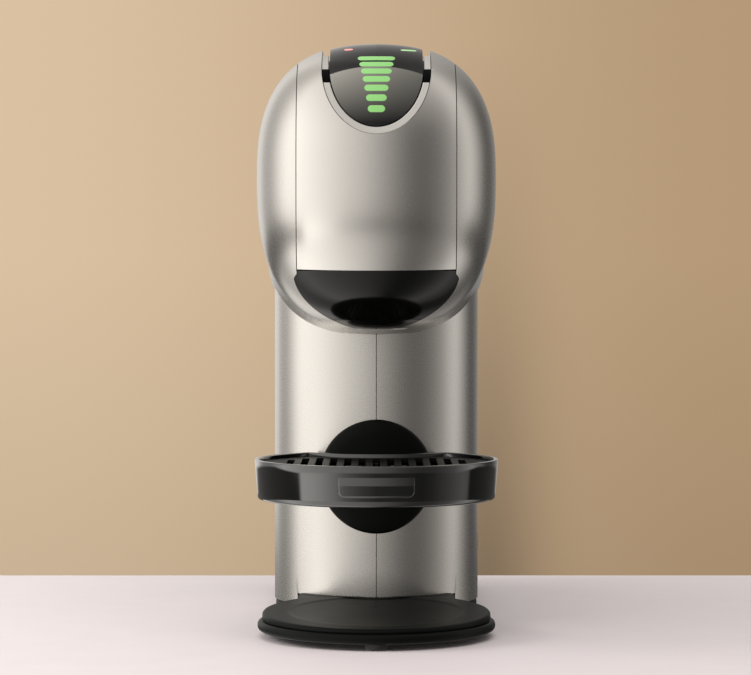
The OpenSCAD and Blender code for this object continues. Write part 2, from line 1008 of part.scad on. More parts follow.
module pump_mounts() {
    color("#202020") {
        difference() {
            rod_z(0, pump_y, 13, base_top_z, base_top_z + 12);
            rod_z(0, pump_y, pump_tube_r, base_top_z + 7, base_top_z + 13);
        }
        difference() {
            union() {
                rod_z(0, pump_y, 12, pump_top_z + 6.5, pump_top_z + 9);
                rod_z(0, pump_y, 9, pump_top_z, pump_top_z + 7);
            }
            rod_z(0, pump_y, outlet_r, pump_top_z - 1, pump_top_z + 10);
        }
    }
}

block_low_z = 165;
block_high_z = 215;
module pressure_tube() {
    color("#dcdcd6")
        difference() {
            rod_z(0, pump_y, hose_r, pump_top_z + 14, block_low_z);
            rod_z(0, pump_y, 1.5, pump_top_z + 13, block_low_z + 1);
        }
}

block_y0 = chassis_y + chassis_t;
block_y1 = block_y0 + 42;
module thermoblock() {
    color("#a9abac")
        union() {
            slab_x(-20, 20, block_y0, block_y1, block_low_z + 3, block_high_z - 3);
            slab_x(-17, 17, block_y0 + 3, block_y1 - 3, block_low_z, block_high_z);
            for (z = [178, 192, 206])
                slab_x(-22.5, 22.5, block_y0, block_y1 - 4, z - 2, z + 2);
        }
}

module thermostats() {
    color("#b8a58a")
        for (x = [-9, 9]) {
            rod_z(x, block_y1 - 12, 7, block_high_z, block_high_z + 5);
            rod_z(x, block_y1 - 12, 3.5, block_high_z + 5, block_high_z + 9);
        }
}

// Rigid pipe from the heater over the housing's bridge to the hose
pipe_r = 2.4;
pipe_y = block_y0 + 8;
module steam_pipe() {
    top = rod_top_z + 5;
    color("#c9c9c4")
        union() {
            rod_z(0, well_y, pipe_r, rod_top_z - 4, top);
            rod_y(0, top, pipe_r, well_y, pipe_y);
            rod_z(0, pipe_y, pipe_r, block_high_z, top);
            for (y = [well_y, pipe_y])
                translate([0, y, top])
                    sphere(r = pipe_r, $fn = 32);
        }
}

board_y0 = -2;
board_y1 = 70;
board_z0 = 62;
board_z1 = 158;
module control_board() {
    color("#22613f")
        slab_x(board_x, board_x + 1.6, board_y0, board_y1, board_z0, board_z1);
}

module board_parts() {
    face = board_x + 1.6;
    color("#33363a") {
        slab_x(face, face + 16, 44, 66, 66, 92);
        slab_x(face, face + 10, 20, 36, 70, 84);
        for (z = [100, 118, 136])
            rod_x(56, z, 5, face, face + 14);
        for (z = [96, 112, 128, 144])
            slab_x(face, face + 6, 8, 22, z, z + 8);
    }
}

meter_y = 56;
meter_r = 14;
meter_h = 18;
tube_z = base_top_z + 1.7;
tube_r = 1.5;
module flow_meter() {
    color("#e0ddd2")
        union() {
            difference() {
                rod_z(0, meter_y, meter_r, base_top_z, base_top_z + meter_h);
                rod_y(0, tube_z, tube_r, meter_y + meter_r - 0.2, body_rear_y);
                rod_y(0, meter_out_z, hose_r, pump_y, meter_y - meter_r + 0.3);
            }
            rod_z(0, meter_y, 9, base_top_z + meter_h, base_top_z + meter_h + 4);
        }
}

meter_out_z = base_top_z + 15;
socket_r = 8;
module suction_tubes() {
    color("#d8d8d2") {
        rod_y(0, tube_z, tube_r, meter_y + meter_r - 0.2, valve_y - socket_r + 0.2);
        rod_y(0, meter_out_z, hose_r, pump_y + pump_tube_r - 0.5, meter_y - meter_r + 0.3);
    }
}

module tank_socket() {
    color("#33383a")
        difference() {
            union() {
                rod_z(0, valve_y, socket_r, base_top_z - 1, tank_low_z - 0.5);
                rod_z(0, valve_y, 3, tank_low_z - 1, tank_low_z + 1.5);
            }
            rod_z(0, valve_y, 1.2, tank_low_z - 0.8, tank_low_z + 2);
            rod_y(0, tube_z, tube_r, valve_y - socket_r - 1, valve_y - socket_r + 0.2);
        }
}

// ---- water tank ----

valve_bore = 5;
cage_r = 9;
cage_top_z = tank_low_z + 14;
lid_hinge_y = tank_front_y + tank_r - 9;
lid_hinge_z = tank_rim_z + 4;
lid_block_half = 20;
module water_tank() {
    deck_y = lid_hinge_y - 3.8;
    color("#6f7a80", 0.5)
        difference() {
            union() {
                tank_form(0, tank_low_z, tank_rim_z);
                // deck behind the lid, which holds the hinge pin
                intersection() {
                    tank_form(0, tank_rim_z, tank_rim_z + lid_h);
                    slab_x(-big, big, deck_y, big, 0, big);
                }
            }
            difference() {
                tank_form(tank_wall, tank_low_z + 3, tank_rim_z + 0.01);
                rod_z(0, valve_y, cage_r, tank_low_z, cage_top_z + 2);
            }
            slab_x(-lid_block_half - 0.4, lid_block_half + 0.4, deck_y - 1, lid_hinge_y + 4, tank_rim_z,
                big);
            rod_x(lid_hinge_y, lid_hinge_z, lid_pin_r, -lid_block_half - 4, lid_block_half + 4);
            rod_z(0, valve_y, valve_bore, tank_low_z - 1, cage_top_z);
            rod_z(0, valve_y, 2, tank_low_z, cage_top_z + 6);
            // windows of the valve cage
            slab_x(-12, 12, valve_y - 2, valve_y + 2, tank_low_z + 8, tank_low_z + 12);
            // recess over the socket
            rod_z(0, valve_y, socket_r + 0.6, tank_low_z - 1, tank_low_z + 0.4);
        }
}

module tank_seal() {
    color("#7d2f25")
        difference() {
            rod_z(0, valve_y, valve_bore, tank_low_z + 1, tank_low_z + 2.6);
            rod_z(0, valve_y, 3.5, tank_low_z, tank_low_z + 3);
        }
}

valve_low_z = tank_low_z + 3.4;
valve_head_h = 2;
module tank_valve() {
    color("#c8c8c4")
        union() {
            rod_z(0, valve_y, valve_bore - 0.4, valve_low_z, valve_low_z + valve_head_h);
            rod_z(0, valve_y, 1.6, valve_low_z, valve_low_z + 12);
            rod_z(0, valve_y, 1.6, tank_low_z + 1.9, valve_low_z);
        }
}

spring_low_z = valve_low_z + valve_head_h;
spring_high_z = cage_top_z;
module valve_spring() {
    color("#b9b9b5")
        difference() {
            rod_z(0, valve_y, 3.6, spring_low_z, spring_high_z);
            rod_z(0, valve_y, 2.4, spring_low_z - 1, spring_high_z + 1);
        }
}

lid_pin_r = 1.5;
module tank_lid() {
    color("#202223")
        difference() {
            union() {
                difference() {
                    tank_form(0, tank_rim_z + gap, tank_rim_z + lid_h);
                    slab_x(-big, big, lid_hinge_y - 4.6, big, 0, big);
                }
                slab_x(-lid_block_half, lid_block_half, lid_hinge_y - 6, lid_hinge_y + 3,
                    lid_hinge_z - 2, tank_rim_z + lid_h);
                // rim that fits inside the tank
                difference() {
                    tank_form(tank_wall + 0.6, tank_rim_z - 3, tank_rim_z + 1);
                    slab_x(-big, big, lid_hinge_y - 9, big, 0, big);
                }
            }
            // hollow underside
            difference() {
                tank_form(tank_wall + 2.6, tank_rim_z - 4, tank_rim_z + lid_h - 2);
                slab_x(-big, big, lid_hinge_y - 11, big, 0, big);
            }
            rod_x(lid_hinge_y, lid_hinge_z, lid_pin_r + 0.08, -lid_block_half - 1, lid_block_half + 1);
        }
}

module lid_pin() {
    color("#9c9c98")
        rod_x(lid_hinge_y, lid_hinge_z, lid_pin_r, -lid_block_half - 4, lid_block_half + 4);
}

module cord_gland() {
    color("#161616")
        difference() {
            union() {
                rod_x(gland_y, gland_z, 5, column_r - 8, column_r);
                rod_x(gland_y, gland_z, 7, column_r, column_r + 2);
            }
            rod_x(gland_y, gland_z, 3, column_r - 9, column_r + 3);
        }
}

base_plate();
base_cover();
rubber_feet();
base_screws();
left_shell();
right_shell();
roof_cover();
rear_panel();
belly_cover();
chassis();
brew_housing();
drawer_guide();
guide_rods();
hinge_pins();
display_lens();
display_board();
light_bars();
status_lights();
locking_handle();
notch_ring();
handle_liner();
needle_carriage();
needle();
capsule_seal();
brew_hose();
capsule_holder();
tray_rail();
tray_carrier();
drip_tray();
drip_grid();
badge();
pump();
pump_mounts();
pressure_tube();
thermoblock();
thermostats();
steam_pipe();
control_board();
board_parts();
flow_meter();
suction_tubes();
tank_socket();
water_tank();
tank_seal();
tank_valve();
valve_spring();
tank_lid();
lid_pin();
cord_gland();
panel_screws();
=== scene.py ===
"""Looks of the pod coffee machine.

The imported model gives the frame. Every piece made here is a surface worked out on a grid of
two parameters from the same few sizes as the construction, and rides on the body that it
belongs to. Metres throughout, +Z up, front towards -Y.
"""
import math

import bmesh
import bpy
import numpy as np
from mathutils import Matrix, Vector


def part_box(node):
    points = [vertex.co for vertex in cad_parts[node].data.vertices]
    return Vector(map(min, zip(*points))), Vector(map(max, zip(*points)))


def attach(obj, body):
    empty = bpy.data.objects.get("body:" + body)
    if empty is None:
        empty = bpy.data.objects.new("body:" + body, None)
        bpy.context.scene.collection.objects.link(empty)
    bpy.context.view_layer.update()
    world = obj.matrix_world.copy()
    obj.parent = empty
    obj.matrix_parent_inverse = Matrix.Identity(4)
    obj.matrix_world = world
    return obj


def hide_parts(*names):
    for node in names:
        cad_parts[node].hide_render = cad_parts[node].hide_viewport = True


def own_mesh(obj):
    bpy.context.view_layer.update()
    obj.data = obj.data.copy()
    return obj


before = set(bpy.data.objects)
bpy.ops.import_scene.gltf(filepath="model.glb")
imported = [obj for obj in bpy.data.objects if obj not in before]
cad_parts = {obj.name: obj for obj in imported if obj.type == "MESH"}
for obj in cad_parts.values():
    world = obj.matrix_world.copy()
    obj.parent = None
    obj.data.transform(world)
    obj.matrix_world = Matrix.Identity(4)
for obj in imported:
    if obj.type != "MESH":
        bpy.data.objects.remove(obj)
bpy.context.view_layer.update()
scene = bpy.context.scene
MM = 0.001

# ---- Sizes, in millimetres, as the construction has them ----


def node_low(node):
    """Lowest corner of a CAD node in millimetres."""
    return np.array(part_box(node)[0]) / MM


def node_high(node):
    """Highest corner of a CAD node in millimetres."""
    return np.array(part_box(node)[1]) / MM


# the head: an egg outline turned about an upright axis in front, carried back along a bend
HEAD_HALF = node_high("right_shell")[0]
HEAD_POWER = 2.6
HEAD_MID = 210.5
HEAD_UP = 61.0
HEAD_DOWN = 70.0
AXIS_Y = -79.0
BEND_R = 409.0
BEND_Z = HEAD_MID + HEAD_UP - BEND_R
WALL = 2.2
SEAM = 35.7
SEAM_GAP = 0.15
# the column, its collar, and the head's rising lower edge
COLUMN_R = 50.0
COLUMN_Y = 10.0
COLUMN_FOOT = 13.0
SKIRT = node_high("base_plate")[2] + 0.3
COLLAR_HALF = 37.6
SLOT_HALF = 0.16
UNDER_Z = 158.0
UNDER_RISE = math.radians(24)
BODY_REAR = node_high("right_shell")[1]
# the handle's hinge, the notch's ring and the touch panel
HANDLE_LOW = node_low("locking_handle")[2]
HINGE_Y = -50.0
HINGE_Z = 255.0
BARREL_R = 12.5
BARREL_IN = 24.7
TONGUE_HALF = 20.8
TONGUE_LOW = 231.3
TONGUE_DROP = 27.0
TURN_Z = TONGUE_LOW + TONGUE_DROP
RING_OUT = 3.7
RING_IN = 0.5
LENS_INSET = 1.6
LENS_LIFT = 1.3
ROOF_FRONT = HINGE_Y + 9.5
HOLLOW_R = 14.2
HOLLOW_X = 24.4
# the capsule holder
HOLDER_TOP = node_high("capsule_holder")[2]
BELLY_Z = node_low("capsule_holder")[2]
MOON_HALF = SEAM + 1.6
WELL_Y = -84.0
WELL_R = 17.5
WELL_FLOOR = 150.0
CUP_R = 20.1
CUP_LOW = 146.0
RIB_Z = 157.0
TAIL_REAR = node_high("capsule_holder")[1]
# the tray and its carrier
TRAY_LOW, TRAY_HIGH = node_low("drip_tray")[2], node_high("drip_tray")[2]
TRAY_R = node_high("drip_tray")[0]
TRAY_TAPER = 1.5
TRAY_BACK_R = COLUMN_R + 3.8
DISC_R = 27.0
LUG_X = 12
# the base
BASE_R = 54.7
TIER_STEP = 2.2
CORNER_R = 20.0
BASE_REAR = node_high("base_plate")[1]
BASE_LOW, BASE_MID = node_low("base_plate")[2], node_high("base_plate")[2]
BASE_TOP = COLUMN_FOOT
FRONT_DROP = 3.7
DISH_R = 40.0
DISH_DEPTH = 1.2
# the water tank
TANK_R = 50.5
TANK_FRONT = node_low("water_tank")[1]
TANK_LOW, TANK_TOP = node_low("water_tank")[2], node_high("water_tank")[2]
TANK_RIM = TANK_TOP - 6.0

# ---- Mesh tools ----


def grid_faces(rows, columns, start=0, closed=False):
    """Quads of a grid of rows by columns whose points are numbered row by row."""
    across = columns if closed else columns - 1
    r, c = np.meshgrid(np.arange(rows - 1), np.arange(across), indexing="ij")
    n = (c + 1) % columns
    quads = np.stack([r * columns + c, r * columns + n, (r + 1) * columns + n, (r + 1) * columns + c], -1)
    return quads.reshape(-1, 4) + start


def new_piece(name, blocks, material, body, replaces=(), sharp=35.0, bevel=0.0, segments=2):
    """Makes one piece from (points, quads) blocks in millimetres, merges doubles and turns faces outwards."""
    starts = np.cumsum([0] + [len(p) for p, q in blocks])
    quads = np.concatenate([q + start for (p, q), start in zip(blocks, starts)])
    points = np.concatenate([p for p, q in blocks]) * MM
    mesh = bpy.data.meshes.new(name)
    mesh.vertices.add(len(points))
    mesh.vertices.foreach_set("co", points.astype(np.float32).ravel())
    mesh.loops.add(quads.size)
    mesh.loops.foreach_set("vertex_index", quads.astype(np.int32).ravel())
    mesh.polygons.add(len(quads))
    mesh.polygons.foreach_set("loop_start", np.arange(0, quads.size, 4, dtype=np.int32))
    mesh.polygons.foreach_set("loop_total", np.full(len(quads), 4, dtype=np.int32))
    mesh.update(calc_edges=True)
    mesh.validate()
    bm = bmesh.new()
    bm.from_mesh(mesh)
    bmesh.ops.remove_doubles(bm, verts=bm.verts, dist=2e-6)
    bmesh.ops.dissolve_degenerate(bm, edges=bm.edges, dist=1e-6)
    bmesh.ops.recalc_face_normals(bm, faces=bm.faces)
    bm.to_mesh(mesh)
    bm.free()
    mesh.polygons.foreach_set("use_smooth", np.ones(len(mesh.polygons), dtype=bool))
    mesh.set_sharp_from_angle(angle=math.radians(sharp))
    piece = bpy.data.objects.new(name, mesh)
    scene.collection.objects.link(piece)
    mesh.materials.append(material)
    if bevel:
        edge = piece.modifiers.new("soft_edges", "BEVEL")
        edge.width = bevel * MM
        edge.segments = segments
        edge.limit_method = "ANGLE"
        edge.angle_limit = math.radians(40)
        edge.harden_normals = True
    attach(piece, body)
    if replaces:
        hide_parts(*replaces)
    return piece


def closed_shell(outer, inner):
    """A wall between an outer and an inner grid of the same shape, closed along its four borders."""
    rows, columns = outer.shape[:2]
    count = rows * columns
    border = np.concatenate([
        np.arange(columns),
        np.arange(1, rows) * columns + columns - 1,
        (rows - 1) * columns + np.arange(columns - 2, -1, -1),
        np.arange(rows - 2, 0, -1) * columns,
    ])
    after = np.roll(border, -1)
    rim = np.stack([border, after, after + count, border + count], -1)
    back = grid_faces(rows, columns, count)[:, ::-1]
    return np.concatenate([outer.reshape(-1, 3), inner.reshape(-1, 3)]), np.concatenate(
        [grid_faces(rows, columns), back, rim])


def stacked_loops(loops, joined=False):
    """A skin through closed loops of the same length.

    The last loop joins the first, or else each end is drawn together to its middle.
    """
    loops = np.asarray(loops)
    if joined:
        loops = np.concatenate([loops, loops[:1]])
    else:
        ends = [np.repeat(end.mean(1, keepdims=True), loops.shape[1], 1) for end in (loops[:1], loops[-1:])]
        loops = np.concatenate([ends[0], loops, ends[1]])
    return loops.reshape(-1, 3), grid_faces(*loops.shape[:2], closed=True)


def loops_at(plan, *steps):
    """Loops of a plan at (inset, height) steps."""
    return [plan(inset, z) for inset, z in steps]


def raised(plan, z):
    """A flat plan as points at the height z."""
    return np.column_stack([plan, np.full(len(plan), z)])


def lathe(profile, centre, steps, joined=False):
    """A profile of (radius, height) points turned about the upright line through centre."""
    turn = np.linspace(0, 2 * math.pi, steps, endpoint=False)
    loops = [np.stack([centre[0] + r * np.cos(turn), centre[1] + r * np.sin(turn), np.full(steps, z)], -1)
             for r, z in profile]
    return stacked_loops(loops, joined)


def rounded_box(low, high, radius=0.4):
    """A box between two corners, its upright edges rounded and its ends drawn in by the radius."""
    low, high = np.asarray(low, float), np.asarray(high, float)
    radius = min(radius, *((high - low) * 0.49))
    turn = np.linspace(0, 2 * math.pi, 24, endpoint=False) + math.pi / 24
    middle, half = (low + high) / 2, (high - low) / 2

    def loop(inset, z):
        x = middle[0] + np.sign(np.cos(turn)) * (half[0] - radius) + np.cos(turn) * (radius - inset)
        y = middle[1] + np.sign(np.sin(turn)) * (half[1] - radius) + np.sin(turn) * (radius - inset)
        return np.stack([x, y, np.full(24, z)], -1)

    lift = 0.5 * radius
    edge = 0.15 * radius
    return stacked_loops([loop(lift, low[2]), loop(edge, low[2] + edge), loop(0, low[2] + lift),
                          loop(0, high[2] - lift), loop(edge, high[2] - edge), loop(lift, high[2])])


def spread(a, b, count):
    """Even steps from a to b."""
    return np.linspace(a, b, count)


def sine_spread(count):
    """Steps from -1 to 1 that grow closer towards both ends."""
    return np.sin(spread(-math.pi / 2, math.pi / 2, count))


# ---- The head's surface ----


def egg(angle, inset=0.0):
    """Half width and height of the egg outline: a superellipse, angle 0 at its widest place."""
    half = (HEAD_HALF - inset) * np.maximum(np.cos(angle), 0) ** (2 / HEAD_POWER)
    reach = np.where(angle > 0, HEAD_UP - inset, HEAD_DOWN - inset)
    return half, HEAD_MID + np.sign(angle) * reach * np.abs(np.sin(angle)) ** (2 / HEAD_POWER)


def egg_angle(z, inset=0.0):
    """The outline's angle at the height z: the superellipse solved for its angle."""
    z = np.asarray(z, float)
    reach = np.where(z > HEAD_MID, HEAD_UP - inset, HEAD_DOWN - inset)
    part = np.clip(np.abs(z - HEAD_MID) / reach, 0, 1) ** (HEAD_POWER / 2)
    return np.sign(z - HEAD_MID) * np.arcsin(part)


def crest_angle(x, inset=0.0):
    """The outline's upper angle at which its half width is x."""
    return np.arccos(np.clip(np.abs(x) / (HEAD_HALF - inset), 0, 1) ** (HEAD_POWER / 2))


def front_point(x, angle, inset=0.0):
    """Points on the head's round front: the egg turned about the upright axis, found from x and angle."""
    half, z = egg(angle, inset)
    x, half, z, inset = np.broadcast_arrays(x, half, z, inset)
    return np.stack([x, AXIS_Y - np.sqrt(np.maximum(half**2 - x**2, 0)), z], -1)


def rear_point(x, z, y):
    """Points behind the axis: the section's point (x, z) carried back to y along the roof's bend."""
    x, z, y = np.broadcast_arrays(x, z, y)
    return np.stack([x, y, BEND_Z + np.sqrt((z - BEND_Z) ** 2 - (y - AXIS_Y) ** 2)], -1)


def strip(xs, low_angle, end_y, inset, front_rows, rear_rows):
    """A strip over the crest: for each x the front curve from low_angle to the crest, then back to end_y."""
    xs = np.asarray(xs)
    t = spread(0, 1, front_rows)[:, None]
    top = crest_angle(xs, inset)[None]
    angle = low_angle + (top - low_angle) * (2 * t - t * t)
    front = front_point(np.broadcast_to(xs, angle.shape), angle, inset)
    z = egg(top[0], inset)[1]
    s = spread(0, 1, rear_rows)[1:, None]
    rear = rear_point(xs[None], z[None], AXIS_Y + (end_y - AXIS_Y) * s)
    return np.concatenate([front, rear])


def tongue_edge(x, grow):
    """Height of the tongue's round end at x: half an ellipse, widened all round by grow."""
    half, drop = TONGUE_HALF + grow, TONGUE_DROP + grow
    return TURN_Z - drop * np.sqrt(np.clip(1 - (x / half) ** 2, 0, 1))


def moon_edge(z, grow):
    """Half width of the capsule holder's half moon at the height z, with a small step at its top."""
    depth = HOLDER_TOP - BELLY_Z + 0.7 + grow
    bowl = (MOON_HALF + grow) * np.maximum(0, 1 - (np.maximum(HOLDER_TOP - z, 0) / depth) ** 2) ** 0.6
    step = 1.7 / (1 + np.exp(-(z - (HOLDER_TOP - 2.4)) / 0.22))
    return bowl - step


# ---- Materials ----


def linear(code):
    """An sRGB hex colour as linear light, with full cover."""
    parts = [int(code[i:i + 2], 16) / 255 for i in (1, 3, 5)]
    return tuple(c / 12.92 if c <= 0.04045 else ((c + 0.055) / 1.055) ** 2.4 for c in parts) + (1.0,)


def add(tree, kind, links=(), **settings):
    """Adds a node, sets its attributes or its inputs' values, and links (output, input name) pairs."""
    node = tree.nodes.new(kind)
    for key, value in settings.items():
        if hasattr(node, key):
            setattr(node, key, value)
        else:
            node.inputs[key.replace("_", " ")].default_value = value
    for source, target in links:
        tree.links.new(source, node.inputs[target])
    return node


def feed(tree, socket, value):
    """Links an output to an input, or sets the input to a plain value or a hex colour."""
    if isinstance(value, bpy.types.NodeSocket):
        tree.links.new(value, socket)
    else:
        socket.default_value = linear(value) if isinstance(value, str) else value


def worked(tree, operation, *values):
    """The output of a math node over outputs and plain numbers."""
    node = add(tree, "ShaderNodeMath", operation=operation)
    for socket, value in zip(node.inputs, values):
        feed(tree, socket, value)
    return node.outputs[0]


def ranged(tree, value, start, end, low=0.0, high=1.0, **settings):
    """The output of a node that maps value's range from start to end onto low to high."""
    node = add(tree, "ShaderNodeMapRange", [(value, "Value")], **settings)
    for name, given in (("From Min", start), ("From Max", end), ("To Min", low), ("To Max", high)):
        feed(tree, node.inputs[name], given)
    return node.outputs["Result"]


def mixed(tree, amount, first, second):
    """A colour between first and second, each an output or a hex code."""
    node = add(tree, "ShaderNodeMix", [(amount, 0)], data_type="RGBA")
    feed(tree, node.inputs[6], first)
    feed(tree, node.inputs[7], second)
    return node.outputs[2]


def noise(tree, place, size_mm, detail):
    """The output of a noise texture whose features measure about size_mm."""
    node = add(tree, "ShaderNodeTexNoise", [(place, "Vector")], Scale=1 / (size_mm * MM), Detail=detail)
    return node.outputs["Fac"]


def object_xz(tree):
    """The object's own x and z."""
    place = add(tree, "ShaderNodeTexCoord").outputs["Object"]
    parts = add(tree, "ShaderNodeSeparateXYZ", [(place, "Vector")]).outputs
    return parts["X"], parts["Z"]


def new_material(name):
    """A new material with its node tree and its main shader."""
    material = bpy.data.materials.new(name)
    material.use_nodes = True
    return material, material.node_tree, material.node_tree.nodes["Principled BSDF"]


def textured(name, patterns, first, second, rough, bump, depth, **extra):
    """A material whose colour and roughness follow one pattern, and whose bump follows another.

    patterns gives both from the node tree and the object's coordinates.
    """
    material, tree, shader = new_material(name)
    tone, height = patterns(tree, add(tree, "ShaderNodeTexCoord").outputs["Object"])
    relief = add(tree, "ShaderNodeBump", [(height, "Height")], Strength=bump, Distance=depth)
    feed(tree, shader.inputs["Base Color"], mixed(tree, tone, first, second))
    feed(tree, shader.inputs["Roughness"], ranged(tree, tone, 0.0, 1.0, *rough))
    feed(tree, shader.inputs["Normal"], relief.outputs["Normal"])
    for key, value in extra.items():
        shader.inputs[key.replace("_", " ")].default_value = value
    return material


def plastic(name, code, roughness, grain_mm, bump, code_worn=None, spread_rough=0.05, **extra):
    """A moulded plastic: slight colour drift over centimetres, mould grain as bump, uneven roughness."""
    def patterns(tree, place):
        return noise(tree, place, 25.0, 3.0), noise(tree, place, grain_mm, 4.0)

    rough = (roughness - spread_rough, roughness + spread_rough)
    return textured(name, patterns, code, code_worn or code, rough, bump, 0.0001, Coat_Roughness=0.03,
                    **extra)


def metal(name, code, roughness, line_mm, bump, code_dark, stretch=(1.0, 1.0, 1.0)):
    """A metal or metallic lacquer: fine lines in colour and bump, drawn out one way by stretch."""
    def patterns(tree, place):
        drawn = add(tree, "ShaderNodeMapping", [(place, "Vector")], Scale=stretch)
        lines = noise(tree, drawn.outputs["Vector"], line_mm, 3.0)
        return lines, lines

    return textured(name, patterns, code_dark, code, (roughness - 0.04, roughness + 0.05), bump, 0.00005,
                    Metallic=1.0)


def lit(name, code, glow, strength):
    """A lamp window in a touch panel: coloured plastic that gives off a little light."""
    return plastic(name, code, 0.25, 0.6, 0.02, Coat_Weight=0.4, Emission_Color=linear(glow),
                   Emission_Strength=strength)


# ABS with a satin metallic lacquer: flakes too fine to see give a soft, even sheen
SILVER = metal("lacquered_abs_silver", "#c9c6c1", 0.27, 0.35, 0.03, "#c4c1bc")
# The handle's lacquer is the same, a shade lighter
HANDLE_SILVER = metal("lacquered_handle_silver", "#cdcac5", 0.25, 0.35, 0.03, "#c8c5c0")
# Satin chromed ABS of the bevelled ring: bright, its sheen a little drawn out
CHROME = metal("chromed_abs", "#dad8d4", 0.2, 1.5, 0.01, "#d2d0cc")
# Polycarbonate touch panel: deep black under a hard gloss coat, with a painted reflection of a soft box as a
# paler grey where the level shows
PANEL_BLACK = plastic("gloss_polycarbonate_black", "#0a0b0b", 0.08, 3.0, 0.004, spread_rough=0.02,
                      Specular_IOR_Level=0.3)
# Moulded gloss ABS: black, faintly uneven as moulded gloss is
GLOSS_BLACK = plastic("gloss_abs_black", "#050605", 0.07, 6.0, 0.004, "#070807", spread_rough=0.02,
                      Coat_Weight=0.6, Specular_IOR_Level=1.0)
# The same on the drawer's front, under a thinner gloss: deeper black
DRAWER_BLACK = plastic("gloss_abs_deep_black", "#050605", 0.12, 6.0, 0.004, "#070807", spread_rough=0.02,
                       Specular_IOR_Level=0.3)
# Spark-eroded ABS: black with a fine matt grain of about half a millimetre
SATIN_BLACK = plastic("spark_eroded_abs_black", "#090c09", 0.45, 0.45, 0.08, "#0c0f0c",
                      Specular_IOR_Level=0.1)
# Smoke-tinted SAN of the water tank: clear, with a grey tint and a slightly uneven surface
SMOKED = plastic("smoked_san_clear", "#9aa3a8", 0.06, 8.0, 0.01, "#949da2", spread_rough=0.02,
                 Transmission_Weight=0.85, IOR=1.57)
# Glass-filled nylon inside the machine: dull black
INNER_BLACK = plastic("moulded_nylon_black", "#161716", 0.5, 0.8, 0.15, "#1c1d1c")
# Natural rubber of the feet: matt with a slight bloom
FOOT_RUBBER = plastic("matt_rubber_black", "#1a1a19", 0.7, 0.5, 0.25, "#242422")
# Silicone of the seals: brick red, faintly dusty
SEAL_RUBBER = plastic("silicone_red", "#8c3b2d", 0.45, 0.6, 0.1, "#7d3226")
# Natural nylon of the carriage and the flow meter: warm white, waxy
NYLON = plastic("natural_nylon", "#d2cbb8", 0.45, 0.8, 0.12, "#c9c1ac")
# Milky silicone of the hoses
HOSE = plastic("silicone_hose", "#dcdad2", 0.35, 1.0, 0.05, "#d2d0c8")
# Glass-filled nylon of the pump's case: brown with pale fibres
PUMP_BROWN = plastic("glass_filled_nylon_brown", "#5d432e", 0.5, 0.7, 0.2, "#6a4d35")
# Fired ceramic of the thermostats' caps: matt, sandy
SENSOR = plastic("bisque_ceramic", "#c2b494", 0.7, 0.4, 0.2, "#b8a988")
# Solder mask on the boards: green under a thin gloss
BOARD = plastic("solder_mask_green", "#1f5b37", 0.3, 0.9, 0.08, "#1a4e2f", Coat_Weight=0.3)
# Moulded epoxy of the parts on the boards
CHIP = plastic("moulded_epoxy_grey", "#35373a", 0.5, 0.5, 0.15, "#2b2d30")
# White acetal of the tank's valve: smooth, faintly mottled
VALVE = plastic("moulded_acetal_white", "#d6d5cf", 0.35, 0.8, 0.05, "#cfcec8")
# Zinc-plated steel of screws and pins: grey with a fine spangle
ZINC = metal("zinc_plated_steel", "#b9bab8", 0.3, 0.4, 0.06, "#a9aaa8")
# Drawn stainless steel: bright, with lines along its length
STAINLESS = metal("drawn_stainless_steel", "#c7c7c5", 0.22, 0.25, 0.05, "#b9b9b7", (1.0, 1.0, 0.05))
# Cast aluminium of the heater: rough and grey
CAST = metal("cast_aluminium", "#a9abac", 0.5, 0.5, 0.3, "#989a9b")
# Windows of the level bars and of the two status lamps, lit from behind
BAR_GREEN = lit("lamp_window_green", "#74ae62", "#86c272", 0.42)
LAMP_RED = lit("lamp_window_red", "#d9837c", "#d9766e", 0.7)
LAMP_GREEN = lit("lamp_window_pale_green", "#93c487", "#93c487", 0.55)


def paint_over(material, pattern, code):
    """Paints a colour over a material as far as the pattern of x and z says."""
    tree = material.node_tree
    x, z = object_xz(tree)
    base = tree.nodes["Principled BSDF"].inputs["Base Color"]
    feed(tree, base, mixed(tree, pattern(tree, x, z), base.links[0].from_socket, code))


def panel_reflection_patch(tree, x, z):
    """The painted reflection on the panel: a paler grey below an arc that drops 3.5 mm to its sides; it fades
    to its foot and its right.
    """
    bow = 3.5 * MM / (TONGUE_HALF * MM) ** 2
    foot, top, side = 0.233, 0.2584, 0.021
    arc = worked(tree, "MULTIPLY_ADD", worked(tree, "MULTIPLY", x, x), bow, z)
    below = ranged(tree, arc, top - 0.0002, top + 0.0002, 1.0, 0.0)
    fade = worked(tree, "MULTIPLY", ranged(tree, z, foot, 0.259), ranged(tree, x, -side, side, 1.0, 0.45))
    return worked(tree, "MULTIPLY", fade, below)


def ear_shade_band(tree, x, z):
    """Painted shade on the ring's two arms where they run in the dark pockets beside the panel, from 251.2 to
    257.6 mm up.
    """
    off = worked(tree, "ABSOLUTE", worked(tree, "SUBTRACT", z, 254.4 * MM))
    return worked(tree, "LESS_THAN", off, 3.2 * MM)


# painted reflection: a soft box's reflection on the glossy panel, painted as a paler grey over its black
paint_over(PANEL_BLACK, panel_reflection_patch, "#97968f")
# painted shade: the chrome ring is painted black where its arms run through the dark pockets beside the panel
paint_over(CHROME, ear_shade_band, "#0b0b0b")

# ---- Head, handle and tongue ----


def notch_columns(half, edge):
    """Places across the handle: even on the two arms, and by the sine rule round the notch."""
    left = spread(-half, -edge, 8)[:-1]
    middle = edge * sine_spread(44)
    return np.concatenate([left, middle, -left[::-1]])


